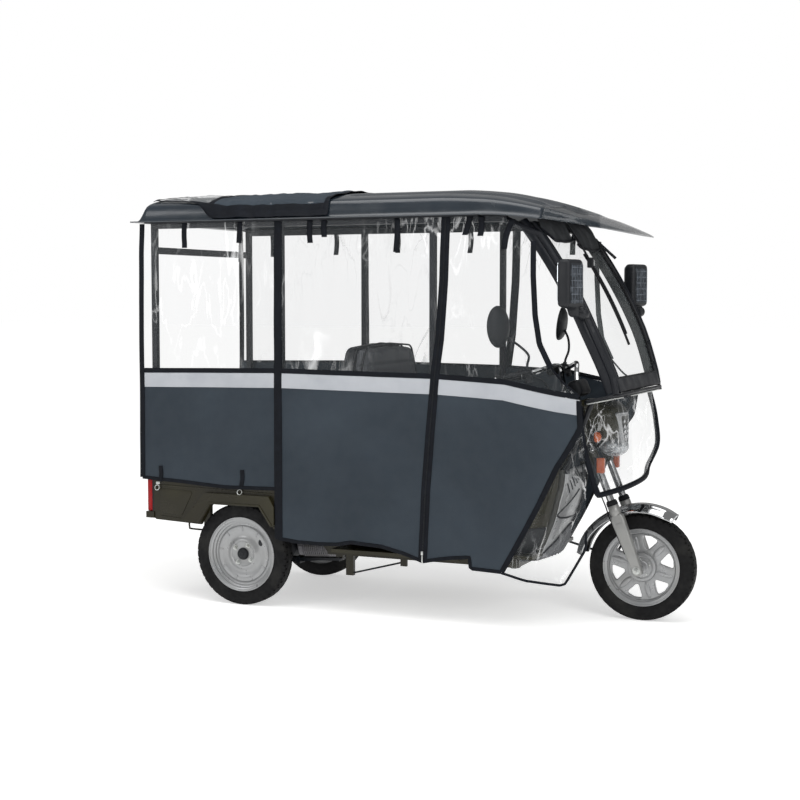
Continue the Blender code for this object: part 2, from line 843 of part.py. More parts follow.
hinge_empty = empty("tailgate_axis", vehicle, (HINGE[0], 0, HINGE[1]))
GATE_HALF_WIDTH = LAMP_INSIDE - 0.007
GATE_FOOT = BOX_FLOOR - HINGE[1] + 0.0015
tailgate = block(
    "tailgate",
    (REAR_END - HINGE[0], -GATE_HALF_WIDTH, GATE_FOOT),
    (REAR_END + BOX_WALL - HINGE[0], GATE_HALF_WIDTH, BOX_TOP - HINGE[1]),
    OLIVE,
    hinge_empty,
)
EAR_PLACES = (-0.20, 0.20)
for y in EAR_PLACES:
    unite(
        tailgate,
        block(
            f"gate_ear_{y:+.2f}",
            (-0.0075, y - 0.025, -0.0075),
            (REAR_END - HINGE[0] + 0.001, y + 0.025, 0.030),
            parent=hinge_empty,
            helper=True,
        ),
    )
cut_away(
    tailgate,
    cylinder(
        "gate_bore", HINGE_ROD_RADIUS + RUNNING, THROUGH, hinge_empty, (0, 0, 0), UPRIGHT, sides=12
    ),
)


# ---------------------------------------------------------------- canopy frame
def screen_point(s):
    """A point of the windscreen's side line, s from 0 at its top to 1 at its foot, as (x, z)."""
    top, foot = Vector(SCREEN_TOP), Vector(SCREEN_FOOT)
    run = foot - top
    bulge = SCREEN_SAGITTA * (1 - (2 * s - 1) ** 2)
    return top + run * s + Vector((-run.y, run.x)).normalized() * bulge


def screen_half_width(s):
    return mix(SCREEN_HALF_WIDTH, SCREEN_FOOT_HALF_WIDTH, ease((s - 0.62) / 0.38))


def shelf_height(x, depth=0.0):
    """The shelf's top, or the level that lies depth under it, at x."""
    return SHELF_TOP - (SHELF_FRONT - x) * math.tan(SHELF_TILT) - depth / math.cos(SHELF_TILT)


RAIL_DEPTH = 0.028
DRIP_RAIL_FRONT = WHEELBASE - 0.582
SIDE_RAIL_FRONT = WHEELBASE - 0.467
for side, sign in SIDES:
    inner, outer = sorted((sign * (SIDE_FACE - POST), sign * SIDE_FACE))
    edge_low, edge_high = sorted((sign * (SIDE_FACE - POST), sign * (ROOF_HALF_WIDTH - 0.007)))
    frame_side = block(
        f"canopy_side_{side}",
        (POST_PLACES[0] - POST / 2, inner, RAIL_TOP - RAIL_DEPTH),
        (SIDE_RAIL_FRONT, outer, RAIL_TOP),
        BLACK_STEEL,
        vehicle,
    )
    posts = [
        block(
            f"post_{side}_{i}",
            (x - POST / 2, inner + WELD, foot),
            (x + POST / 2, outer - WELD, RAIL_TOP - 0.01),
            parent=vehicle,
            helper=True,
        )
        for i, (x, foot) in enumerate(
            zip(POST_PLACES, (BOX_TOP + GAP, BOX_TOP + GAP, CABIN_FLOOR + GAP))
        )
    ]
    drip_rail = block(
        f"drip_rail_{side}",
        (POST_PLACES[0] - POST / 2 - 0.02, edge_low, RAIL_TOP - 0.005),
        (DRIP_RAIL_FRONT, edge_high, RAIL_TOP + 0.0011),
        parent=vehicle,
        helper=True,
    )
    apost_y = sign * (SIDE_FACE - APOST_RADIUS - 0.001)
    apost_points = [(SIDE_RAIL_FRONT - 0.02, apost_y, RAIL_TOP - RAIL_DEPTH / 2)]
    for step in range(1, SCREEN_STEPS):
        x, z = screen_point(step / SCREEN_STEPS)
        y = screen_half_width(step / SCREEN_STEPS) + APOST_RADIUS + RUNNING
        apost_points.append((x, sign * y, z))
    x = screen_point((SCREEN_STEPS - 0.5) / SCREEN_STEPS)[0]
    shelf_here = shelf_height(x + APOST_RADIUS) + GAP
    apost_points.append((x, sign * y, shelf_here + 0.014))
    apost_points.append((x, sign * y, shelf_here))
    apost = tube(f"apost_{side}", apost_points, APOST_RADIUS, None, vehicle)
    unite(frame_side, *posts, drip_rail, meshed(apost, helper=True))

CROSS_BAR_HEIGHT = 1.585
block(
    "rear_cross_bar",
    (POST_PLACES[0] - POST / 2, -SIDE_FACE + POST + GAP, CROSS_BAR_HEIGHT - 0.015),
    (POST_PLACES[0] + POST / 2, SIDE_FACE - POST - GAP, CROSS_BAR_HEIGHT + 0.015),
    BLACK_STEEL,
    vehicle,
)


# ---------------------------------------------------------------- roof and visor
def roof_half_width(x):
    """Full width to the nose, then a superellipse to the tip."""
    t = max(0.0, (x - NOSE_START) / (ROOF_TIP + 0.005 - NOSE_START))
    return ROOF_HALF_WIDTH * math.sqrt(max(0.0, 1 - t**2.4))


def roof_lip(x):
    return ROOF_LIP_HEIGHT - 0.086 * max(0.0, (x - NOSE_START) / (ROOF_TIP - NOSE_START)) ** 1.6


ROOF_SECTION = (  # share of the half width from the middle, share of the rise
    (0.0, 1.0),
    (0.25, 0.98),
    (0.5, 0.90),
    (0.7, 0.79),
    (0.85, 0.66),
    (0.905, 0.58),
    (0.93, 0.48),
    (0.95, 0.15),
    (0.965, 0.02),
    (1.0, 0.0),
)


def section_rise(share):
    for (a, low), (b, high) in zip(ROOF_SECTION, ROOF_SECTION[1:]):
        if share <= b:
            return mix(low, high, (share - a) / (b - a))
    return 0.0


def roof_rise(x):
    """The height of the crown over the lip: up a short slope at the rear, and down to the visor's tip."""
    rear = ease((x - ROOF_REAR - 0.017) / 0.055)
    nose = 1 - max(0.0, (x - CROWN_START) / (ROOF_TIP - CROWN_START)) ** 1.5
    return ROOF_RISE * rear * max(nose, 0.0)


def roof_surface(x, share):
    return Vector((x, share * roof_half_width(x), roof_lip(x) + roof_rise(x) * section_rise(abs(share))))


def spread(values):
    """A function that gives the listed values in turn as its argument goes from 0 to 1."""
    last = len(values) - 1

    def at(t):
        return values[round(t * last)]

    return at


across = [-share for share, _ in reversed(ROOF_SECTION)] + [share for share, _ in ROOF_SECTION[1:]]
roof_across = spread(across)
ROOF_STATIONS = [ROOF_REAR + rise for rise in (0, 0.017, 0.030, 0.045, 0.058, 0.072)]
ROOF_STATIONS += [-0.30, 0.05, 0.40, 0.75, CROWN_START]
ROOF_STATIONS += [mix(CROWN_START, ROOF_SPLIT, t) for t in (0.22, 0.44, 0.62, 0.76, 0.89, 1.0)]
roof_along = spread(ROOF_STATIONS)
shell(
    "roof_shell",
    len(ROOF_STATIONS) - 1,
    len(across) - 1,
    lambda u, v: roof_surface(roof_along(u), roof_across((v + 1) / 2)),
    ROOF_WALL,
    ROOF_PLASTIC,
    vehicle,
)
visor_along = spread(
    [mix(ROOF_SPLIT + 2 * GAP, ROOF_TIP, t) for t in (0, 0.15, 0.30, 0.45, 0.60, 0.75, 0.87, 0.94, 1)]
)
shell(
    "roof_visor",
    8,
    len(across) - 1,
    lambda u, v: roof_surface(visor_along(u), roof_across((v + 1) / 2)),
    ROOF_WALL,
    VISOR_PLASTIC,
    vehicle,
)

# The rear curtain lies thrown forward over the roof.
curtain_along = spread([x for x in ROOF_STATIONS if -0.465 < x < 0.45])
curtain_across = spread([share for share in across if abs(share) < 0.86])
shell(
    "rear_curtain",
    3,
    8,
    lambda u, v: roof_surface(curtain_along(u), curtain_across((v + 1) / 2)) + Vector((0, 0, 0.0009)),
    CURTAIN_THICKNESS,
    FABRIC,
    vehicle,
    offset=1.0,
)


# ---------------------------------------------------------------- windscreen and its shelf
def screen_sheet(name, thickness, finish, margin=0.0, ends=(0.0, 1.0), helper=False):
    def shape(u, v):
        s = mix(*ends, u)
        x, z = screen_point(s)
        return Vector((x, -v * (screen_half_width(s) - margin), z))

    return shell(name, SCREEN_STEPS, 2, shape, thickness, finish, vehicle, offset=0.0, helper=helper)


SCREEN_LENGTH = (Vector(SCREEN_FOOT) - Vector(SCREEN_TOP)).length
BAND = SCREEN_FRAME_BAND
FOOT_BAND = 0.055
window_ends = (BAND / SCREEN_LENGTH, 1 - FOOT_BAND / SCREEN_LENGTH)
screen_frame = screen_sheet("windscreen_frame", SCREEN_FRAME_DEPTH, BLACK_STEEL)
cut_away(screen_frame, screen_sheet("screen_hole", 0.06, None, BAND, window_ends, helper=True))
glass_ends = (window_ends[0] + 0.0006, window_ends[1] - 0.0006)
screen_sheet("windscreen_glass", SCREEN_GLASS, CLEAR, BAND + 0.0005, glass_ends)

SHELF_HALF_WIDTH = SCREEN_FOOT_HALF_WIDTH + 0.032
shelf_depth = (SHELF_FRONT - SHELF_REAR) / math.cos(SHELF_TILT)
shelf_outline = rounded(
    [
        (-shelf_depth, -SHELF_HALF_WIDTH),
        (-0.040, -SHELF_HALF_WIDTH),
        (-0.006, -SHELF_HALF_WIDTH + 0.072),
        (0.0, 0.0),
        (-0.006, SHELF_HALF_WIDTH - 0.072),
        (-0.040, SHELF_HALF_WIDTH),
        (-shelf_depth, SHELF_HALF_WIDTH),
    ],
    0.03,
)
middle_depth = SHELF_THICKNESS / 2
shelf = meshed(
    outline_solid(
        "screen_shelf",
        shelf_outline,
        SHELF_THICKNESS,
        None,
        vehicle,
        (
            SHELF_FRONT + middle_depth * math.sin(SHELF_TILT),
            0,
            SHELF_TOP - middle_depth * math.cos(SHELF_TILT),
        ),
        (0, -SHELF_TILT, 0),
    )
)
shelf.data.materials.append(BLACK_PLASTIC)
FAIRING_TOP = 0.645
STRUT_FOOT = WHEELBASE - 0.248
STRUT_TOP = WHEELBASE - 0.132
STRUT_SPREAD = FAIRING_HALF_WIDTH - 0.008
for side, sign in SIDES:
    strut = tube(
        f"strut_{side}",
        [
            (STRUT_FOOT, sign * STRUT_SPREAD, FAIRING_TOP + GAP),
            (STRUT_FOOT, sign * STRUT_SPREAD, FAIRING_TOP + 0.025),
            (STRUT_TOP, sign * (SHELF_HALF_WIDTH - 0.022), shelf_height(STRUT_TOP, 0.010)),
        ],
        0.011,
        None,
        vehicle,
    )
    unite(shelf, meshed(strut, helper=True))

MIRROR_PLACE = 0.565
MIRROR_DEPTH, MIRROR_WIDTH, MIRROR_HEIGHT = 0.057, 0.127, 0.196
MIRROR_SWEEP = math.radians(12)
for side, sign in SIDES:
    # A box-shaped mirror head on an arm that clamps the canopy's front post.
    x, z = screen_point(MIRROR_PLACE)
    grip = screen_half_width(MIRROR_PLACE) + 2 * APOST_RADIUS + RUNNING + GAP
    head = block(
        f"screen_mirror_{side}",
        (-MIRROR_DEPTH / 2, -MIRROR_WIDTH / 2, -MIRROR_HEIGHT / 2),
        (MIRROR_DEPTH / 2, MIRROR_WIDTH / 2, MIRROR_HEIGHT / 2),
        BLACK_PLASTIC,
        vehicle,
        bevel=0.016,
        rotation=(0, 0, sign * MIRROR_SWEEP),
    )
    head.location = (x - 0.022, sign * (grip + 0.075), z + 0.121)
    arm = meshed(
        tube(
            f"mirror_arm_{side}",
            [
                (x - 0.002, sign * grip, z),
                (x - 0.002, sign * (grip + 0.040), z),
                (x - 0.018, sign * (grip + 0.062), z + 0.040),
            ],
            0.011,
            None,
            vehicle,
        ),
        helper=True,
    )
    unite(head, arm)

# ---------------------------------------------------------------- front fairing
FAIRING_WALL = 0.010
FAIRING_SECTIONS = (  # height, then middle, leading edge, side joint and rear end, behind the front axle
    (0.2505, 0.392, 0.282, 0.388, 0.542),
    (0.310, 0.377, 0.264, 0.377, 0.532),
    (0.370, 0.362, 0.242, 0.360, 0.512),
    (0.430, 0.350, 0.207, 0.337, 0.477),
    (0.510, 0.338, 0.182, 0.297, 0.422),
    (0.580, 0.330, 0.164, 0.257, 0.372),
    (FAIRING_TOP, 0.322, 0.155, 0.222, 0.322),
)


def fairing_point(u, v):
    """From the middle out to the cheek's leading edge, round it, and back along the side."""
    height, *behind = FAIRING_SECTIONS[round(u * (len(FAIRING_SECTIONS) - 1))]
    middle, lead, joint, rear = (WHEELBASE - x for x in behind)
    side = FAIRING_HALF_WIDTH
    stations = (
        (middle, 0.0),
        (middle, side - 0.205),
        (middle + 0.012, side - 0.130),
        (mix(middle, lead, 0.62), side - 0.083),
        (lead - 0.006, side - 0.053),
        (lead, side - 0.037),
        (lead - 0.014, side - 0.017),
        (mix(lead, joint, 0.55), side - 0.005),
        (joint, side),
        (mix(joint, rear, 0.5), side),
        (rear, side),
    )
    x, y = stations[round(abs(v) * (len(stations) - 1))]
    return Vector((x, math.copysign(y, v), height))


shell(
    "front_fairing",
    len(FAIRING_SECTIONS) - 1,
    20,
    fairing_point,
    FAIRING_WALL,
    SILVER,
    vehicle,
    offset=1.0,
)


# ---------------------------------------------------------------- curtains and apron
CURTAIN_MIDDLE = SIDE_FACE + GAP + CURTAIN_THICKNESS / 2
CURTAIN_TOP = RAIL_TOP - 0.005 - GAP
REAR_SEAM = 0.209
FRONT_SEAM = WHEELBASE - 0.7865
SEAM_GAP = 0.0005
CURTAINS = {  # outlines of the three panels of one side, as (x, z)
    "rear": (
        (-0.485, CURTAIN_TOP),
        (REAR_SEAM - SEAM_GAP, CURTAIN_TOP),
        (REAR_SEAM - SEAM_GAP, 0.535),
        (-0.06, 0.530),
        (-0.490, 0.552),
    ),
    "middle": (
        (REAR_SEAM + SEAM_GAP, CURTAIN_TOP),
        (FRONT_SEAM - SEAM_GAP, CURTAIN_TOP),
        (FRONT_SEAM - SEAM_GAP, 0.268),
        (0.75, 0.262),
        (0.53, 0.292),
        (0.40, 0.262),
        (REAR_SEAM + SEAM_GAP, 0.318),
    ),
    "front": (
        (FRONT_SEAM + SEAM_GAP, CURTAIN_TOP),
        *(
            (WHEELBASE - behind, z)
            for behind, z in (
                (0.492, CURTAIN_TOP),
                (0.367, 1.560),
                (0.322, 1.220),
                (0.247, 1.030),
                (0.152, 0.960),
                (0.157, 0.640),
                (0.137, 0.380),
                (0.232, 0.194),
                (0.477, 0.240),
                (0.612, 0.240),
                (0.614, 0.296),
            )
        ),
        (FRONT_SEAM + SEAM_GAP, 0.268),
    ),
}
for side, sign in SIDES:
    for panel_name, outline in CURTAINS.items():
        outline_solid(
            f"curtain_{panel_name}_{side}",
            outline,
            CURTAIN_THICKNESS,
            FABRIC,
            vehicle,
            (0, sign * CURTAIN_MIDDLE, 0),
            UPRIGHT,
        )

APRON_FOOT = 0.585
APRON_HALF_WIDTH = SHELF_HALF_WIDTH - 0.037
APRON_TOP_LINE = (WHEELBASE + 0.001, 0.137)  # its middle, and how far its ends wrap back
APRON_FOOT_LINE = (WHEELBASE - 0.040, 0.063)


def apron_point(u, v):
    """A sheet that hangs from the shelf's front edge and bows round the headlamp."""
    top_x, foot_x = (middle - wrap * v * v for middle, wrap in (APRON_TOP_LINE, APRON_FOOT_LINE))
    top = shelf_height(top_x - 0.001, SHELF_THICKNESS) - GAP
    return Vector((mix(top_x, foot_x, u), -v * APRON_HALF_WIDTH, mix(top, APRON_FOOT, u)))


shell("front_apron", 4, 12, apron_point, 0.003, CLEAR, vehicle)

# ---------------------------------------------------------------- steering: fork, bars, lamp and fender
steering = empty("steering_axis", vehicle, axis_point(0), (0, -RAKE, 0))
yoke_outline = rounded(
    [
        (-0.030, -0.028),
        (FORK_OFFSET - 0.022, -LEG_SPREAD - 0.020),
        (FORK_OFFSET + 0.020, -LEG_SPREAD - 0.020),
        (FORK_OFFSET + 0.020, LEG_SPREAD + 0.020),
        (FORK_OFFSET - 0.022, LEG_SPREAD + 0.020),
        (-0.030, 0.028),
    ],
    0.012,
    2,
)
fork = meshed(
    outline_solid("fork", yoke_outline, YOKE_THICKNESS, None, steering, (0, 0, LOWER_YOKE), (0, 0, 0))
)
fork.data.materials.append(CHROME)
upper_yoke = meshed(
    outline_solid("upper_yoke", yoke_outline, YOKE_THICKNESS, None, steering, (0, 0, UPPER_YOKE), (0, 0, 0)),
    helper=True,
)
BAR_SEAT = UPPER_YOKE + 0.030
LEG_TOP = UPPER_YOKE + 0.018
LEG_FOOT = SLIDER_TOP + GAP
unite(
    fork,
    upper_yoke,
    cylinder(
        "steerer",
        STEERER_RADIUS,
        UPPER_YOKE - LOWER_YOKE,
        steering,
        (0, 0, (UPPER_YOKE + LOWER_YOKE) / 2),
        sides=24,
    ),
    *(
        cylinder(
            f"leg_{side}",
            LEG_TUBE_RADIUS,
            LEG_TOP - LEG_FOOT,
            steering,
            (FORK_OFFSET, sign * LEG_SPREAD, (LEG_TOP + LEG_FOOT) / 2),
            sides=20,
        )
        for side, sign in SIDES
    ),
    block(
        "bar_clamp",
        (-0.008, -0.026, UPPER_YOKE),
        (0.028, 0.026, BAR_SEAT - BAR_RADIUS - GAP),
        parent=steering,
        helper=True,
    ),
)
SLIDER_FOOT = -0.024
SLIDER_HALF_THICKNESS = 0.018
slider_outline = rounded(
    [
        (-0.022, SLIDER_TOP - 0.040),
        (-0.029, SLIDER_TOP - 0.062),
        (-0.021, 0.050),
        (-0.019, SLIDER_FOOT),
        (0.019, SLIDER_FOOT),
        (0.023, 0.050),
        (0.029, SLIDER_TOP - 0.062),
        (0.022, SLIDER_TOP - 0.040),
    ],
    0.012,
    3,
)
for side, sign in SIDES:
    slider = meshed(
        outline_solid(
            f"fork_slider_{side}",
            slider_outline,
            2 * SLIDER_HALF_THICKNESS,
            None,
            steering,
            (FORK_OFFSET, sign * LEG_SPREAD, 0),
            UPRIGHT,
        )
    )
    slider.data.materials.append(CAST)
    unite(
        slider,
        turned(
            f"slider_collar_{side}",
            [
                (0.0, SLIDER_TOP),
                (SLIDER_RADIUS - 0.002, SLIDER_TOP),
                (SLIDER_RADIUS, SLIDER_TOP - 0.006),
                (SLIDER_RADIUS, SLIDER_TOP - 0.034),
                (SLIDER_RADIUS - 0.003, SLIDER_TOP - 0.042),
                (0.0, SLIDER_TOP - 0.042),
            ],
            None,
            steering,
            (FORK_OFFSET, sign * LEG_SPREAD, 0),
            steps=20,
            helper=True,
        ),
    )
    cut_away(
        slider,
        cylinder(
            f"axle_bore_{side}",
            FRONT_SHAFT_RADIUS + GAP,
            0.1,
            steering,
            (FORK_OFFSET, sign * LEG_SPREAD, 0),
            UPRIGHT,
            sides=16,
        ),
    )
cylinder(
    "front_axle",
    FRONT_SHAFT_RADIUS,
    2 * (LEG_SPREAD + SLIDER_RADIUS + 0.008),
    steering,
    (FORK_OFFSET, 0, 0),
    UPRIGHT,
    sides=16,
    finish=CAST,
    helper=False,
)

BAR_MIRROR_CLAMP = 0.265
bar_half = [
    (0.010, 0.0, BAR_SEAT),
    (0.010, 0.030, BAR_SEAT),
    (0.010, 0.060, BAR_SEAT + 0.002),
    (0.018, 0.085, BAR_SEAT + 0.030),
    (0.042, 0.110, BAR_SEAT + 0.122),
    (0.050, 0.135, BAR_SEAT + 0.162),
    (0.012, 0.200, BAR_SEAT + 0.166),
    (-0.046, BAR_MIRROR_CLAMP, BAR_SEAT + 0.168),
    (-0.157, BAR_HALF_WIDTH, BAR_SEAT + 0.188),
]
bar_points = [(x, -y, z) for x, y, z in reversed(bar_half[1:])] + bar_half
tube("handlebar", smooth_path(bar_points, 3), BAR_RADIUS, CHROME, steering)

BAR_MIRRORS = {  # each as it is set: the stem's points over its foot, then the head's middle
    "right": (
        ((0.014, 0.003, 0.026), (0.034, 0.008, 0.058), (0.016, 0.018, 0.105), (-0.018, 0.030, 0.158)),
        (-0.024, 0.066, 0.209),
    ),
    "left": (
        ((0.014, 0.003, 0.026), (0.042, 0.008, 0.060), (0.052, 0.030, 0.110), (0.046, 0.044, 0.158)),
        (0.043, 0.050, 0.185),
    ),
}
BAR_MIRROR_TURNS = {  # degrees that each head is rolled, leant forward and turned to its rider
    "right": (8, 4, -31),
    "left": (62, 12, 31),
}
MIRROR_HEAD = (
    (0.0, 0.022),
    (0.030, 0.020),
    (0.050, 0.010),
    (0.057, 0.0),
    (0.058, -0.008),
    (0.052, -0.012),
    (0.0, -0.012),
)


def mirror_turn(roll, lean, turn):
    """The turn of a mirror's head in the steering's own frame, from an upright head that faces back."""
    upright = Matrix.Rotation(math.pi / 2, 3, "Y")
    set_by_hand = (
        Matrix.Rotation(math.radians(turn), 3, "Z")
        @ Matrix.Rotation(math.radians(lean), 3, "Y")
        @ Matrix.Rotation(math.radians(roll), 3, "X")
    )
    return (Matrix.Rotation(RAKE, 3, "Y") @ set_by_hand @ upright).to_euler()


for side, sign in SIDES:
    stem_foot = Vector((-0.046, sign * BAR_MIRROR_CLAMP, BAR_SEAT + 0.168 + BAR_RADIUS + 0.0014))
    stem_points, head_middle_offset = BAR_MIRRORS[side]
    outward = Vector((1, sign, 1))
    stem = meshed(
        tube(
            f"bar_mirror_{side}",
            smooth_path([stem_foot, *(stem_foot + Vector(p) * outward for p in stem_points)], 3),
            0.0055,
            None,
            steering,
        )
    )
    stem.data.materials.append(BLACK_PLASTIC)
    head = turned(
        f"mirror_head_{side}",
        MIRROR_HEAD,
        None,
        steering,
        stem_foot + Vector(head_middle_offset) * outward,
        mirror_turn(*BAR_MIRROR_TURNS[side]),
        steps=24,
        helper=True,
    )
    head.scale = (1.53, 1.0, 1.0)
    unite(stem, head)

# The lamp housing is its side view cut to its plan view.
NACELLE_REAR = FORK_OFFSET + 0.020 + GAP
NACELLE_FOOT, NACELLE_TOP = 0.470, 0.700
NACELLE_NOSE = 0.210
NACELLE_HALF_WIDTH = 0.122
nacelle_side = rounded(
    [
        (NACELLE_REAR, NACELLE_FOOT),
        (NACELLE_NOSE - 0.040, NACELLE_FOOT),
        (NACELLE_NOSE - 0.004, NACELLE_FOOT + 0.090),
        (NACELLE_NOSE, NACELLE_TOP - 0.040),
        (NACELLE_NOSE - 0.025, NACELLE_TOP),
        (NACELLE_REAR, NACELLE_TOP),
    ],
    0.02,
    3,
)
nacelle_plan = rounded(
    [
        (0.0, -0.108),
        (0.150, -NACELLE_HALF_WIDTH),
        (NACELLE_NOSE - 0.010, -0.075),
        (NACELLE_NOSE + 0.002, 0.0),
        (NACELLE_NOSE - 0.010, 0.075),
        (0.150, NACELLE_HALF_WIDTH),
        (0.0, 0.108),
    ],
    0.04,
    3,
)
nacelle = meshed(outline_solid("headlamp_nacelle", nacelle_side, 0.3, None, steering, (0, 0, 0), UPRIGHT))
nacelle.data.materials.append(OLIVE)
plan = outline_solid("nacelle_plan", nacelle_plan, 0.3, None, steering, (0, 0, 0.585), (0, 0, 0))
boolean(nacelle, meshed(plan, helper=True), "INTERSECT")

front_axle_empty = empty("front_wheel_axis", steering, (FORK_OFFSET, 0, 0), (0, RAKE, 0))
front_rim = wheel(
    "front_wheel",
    front_axle_empty,
    -1,
    [
        (r, h) if r > REAR_SHAFT_RADIUS + RUNNING + 1e-6 else (FRONT_SHAFT_RADIUS + RUNNING, h)
        for r, h in rim_ring(0.0, (0.058, -0.030, 0.030))
    ],
)
WINDOWS = 6
WINDOW_RADIUS = 0.029
WINDOW_CIRCLE = 0.108  # their middles, from the axle
FIRST_WINDOW = math.radians(15)
for i in range(WINDOWS):
    angle = FIRST_WINDOW + i * math.tau / WINDOWS
    cut_away(
        front_rim,
        cylinder(
            f"rim_window_{i}",
            WINDOW_RADIUS,
            RIM_WIDTH + 0.012,
            front_axle_empty,
            (WINDOW_CIRCLE * math.cos(angle), 0, WINDOW_CIRCLE * math.sin(angle)),
            UPRIGHT,
            sides=12,
        ),
    )

FENDER_FRONT, FENDER_REAR = math.radians(57), math.radians(171)
FENDER_HALF_WIDTH = 0.060


def fender_point(u, v):
    """An arc over the tyre, opening a little to the rear, with its edges turned down."""
    angle = mix(FENDER_FRONT, FENDER_REAR, u) - RAKE
    crown = FENDER_RADIUS + 0.018 * ease((u - 0.5) / 0.5)
    radius = crown - 0.030 * abs(v) ** 2.6
    return Vector((FORK_OFFSET + radius * math.cos(angle), v * FENDER_HALF_WIDTH, radius * math.sin(angle)))


fender = shell("front_fender", 18, 8, fender_point, FENDER_WALL, CHROME, steering, offset=0.0)
STAY_HEIGHT = 0.226
STAY_REACH = LEG_SPREAD - SLIDER_HALF_THICKNESS - GAP
unite(
    fender,
    *(
        block(
            f"fender_stay_{side}",
            (
                FORK_OFFSET - 0.014,
                min(sign * (FENDER_HALF_WIDTH - 0.006), sign * STAY_REACH),
                STAY_HEIGHT,
            ),
            (
                FORK_OFFSET + 0.014,
                max(sign * (FENDER_HALF_WIDTH - 0.006), sign * STAY_REACH),
                STAY_HEIGHT + 0.020,
            ),
            parent=steering,
            helper=True,
        )
        for side, sign in SIDES
    ),
)

# The front brake cable runs from the right lever down behind the fork leg, clipped to the slider.
cable_points = [
    (-0.037, -0.255, BAR_SEAT + 0.1530),
    (-0.008, -0.215, BAR_SEAT + 0.112),
    (0.000, -0.150, UPPER_YOKE - 0.010),
    (0.006, -0.120, LOWER_YOKE + 0.040),
    (0.008, -0.112, LOWER_YOKE - 0.020),
    (0.011, -0.100, 0.400),
    (0.0135, -LEG_SPREAD, 0.300),
    (0.0120, -LEG_SPREAD, 0.262),
    (0.0120, -LEG_SPREAD, SLIDER_TOP - 0.058),
    (0.0143, -LEG_SPREAD, 0.190),
    (0.0170, -LEG_SPREAD, 0.130),
    (0.0192, -LEG_SPREAD, 0.080),
]
tube("front_brake_cable", smooth_path(cable_points, 4), 0.0028, BLACK_PLASTIC, steering, sides=1)
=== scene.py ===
"""The looks of an electric cabin scooter: a three-wheeled cargo scooter, roofed, with rain curtains.

Metres, +X forward, +Y to the left, +Z up. Places along X are mostly given from the rear axle.
"""

import math

import bmesh
import bpy
from mathutils import Matrix, Vector, noise


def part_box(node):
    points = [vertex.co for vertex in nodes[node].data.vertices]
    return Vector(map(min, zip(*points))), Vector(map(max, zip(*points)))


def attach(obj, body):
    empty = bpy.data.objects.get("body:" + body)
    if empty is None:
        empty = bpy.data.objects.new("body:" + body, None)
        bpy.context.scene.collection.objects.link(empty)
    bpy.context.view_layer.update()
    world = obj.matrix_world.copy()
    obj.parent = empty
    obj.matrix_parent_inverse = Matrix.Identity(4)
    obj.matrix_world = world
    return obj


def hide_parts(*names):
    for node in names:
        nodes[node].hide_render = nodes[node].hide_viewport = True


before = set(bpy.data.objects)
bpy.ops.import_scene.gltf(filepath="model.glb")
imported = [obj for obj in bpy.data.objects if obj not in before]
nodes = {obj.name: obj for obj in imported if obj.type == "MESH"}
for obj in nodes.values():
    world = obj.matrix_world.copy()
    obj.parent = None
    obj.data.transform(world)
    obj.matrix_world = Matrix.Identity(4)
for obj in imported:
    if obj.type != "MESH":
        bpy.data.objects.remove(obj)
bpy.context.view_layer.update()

# ---------------------------------------------------------------- studio
# A seamless pale floor in a white room. The light is one wide soft box overhead, with weaker ones at
# the right front and the right rear, as for a plain product picture.
scene = bpy.context.scene
scene.view_settings.view_transform = "Standard"
low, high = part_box("rear_axle")
rear_axle = (low + high) / 2


def along(x):
    """The place along X that lies x in front of the rear axle."""
    return rear_axle.x + x


LENS, CAMERA_PITCH, CAMERA_TURN = 67.5, 3.88, 23.5
camera = bpy.data.objects.new("camera", bpy.data.cameras.new("camera"))
camera.data.lens = LENS
camera.location = (along(3.30), -6.23, 1.37)
camera.rotation_euler = (math.radians(90 - CAMERA_PITCH), 0, math.radians(CAMERA_TURN))
scene.collection.objects.link(camera)
scene.camera = camera

room = bpy.data.worlds.new("white_room")
scene.world = room
room.use_nodes = True
ROOM_GLOW, ROOM_WHITE = 0.34, 1.0  # how strongly the room lights the scooter, and how white it looks
tree = room.node_tree
sky = tree.nodes["Background"]
light_path = tree.nodes.new("ShaderNodeLightPath")
room_light = tree.nodes.new("ShaderNodeMapRange")
room_light.inputs["To Min"].default_value = ROOM_GLOW
room_light.inputs["To Max"].default_value = ROOM_WHITE
tree.links.new(light_path.outputs["Is Camera Ray"], room_light.inputs["Value"])
tree.links.new(room_light.outputs[0], sky.inputs["Strength"])
sky.inputs["Color"].default_value = (1.0, 1.0, 1.0, 1.0)


def soft_box(name, place, towards, width, height, watts):
    """A rectangular lamp at place that faces towards."""
    lamp = bpy.data.lights.new(name, "AREA")
    lamp.shape = "RECTANGLE"
    lamp.size, lamp.size_y = width, height
    lamp.energy = watts
    made = bpy.data.objects.new(name, lamp)
    made.location = place
    made.rotation_euler = (Vector(towards) - Vector(place)).to_track_quat("-Z", "Y").to_euler()
    scene.collection.objects.link(made)


soft_box("overhead_light", (0.3, -1.2, 4.4), (0, 0, 0.8), 5.0, 3.0, 150)
soft_box("front_light", (4.2, -3.6, 3.0), (0.4, 0, 0.9), 2.6, 2.2, 90)
soft_box("side_light", (-3.4, -4.6, 2.6), (-0.2, 0, 0.7), 2.6, 2.2, 55)


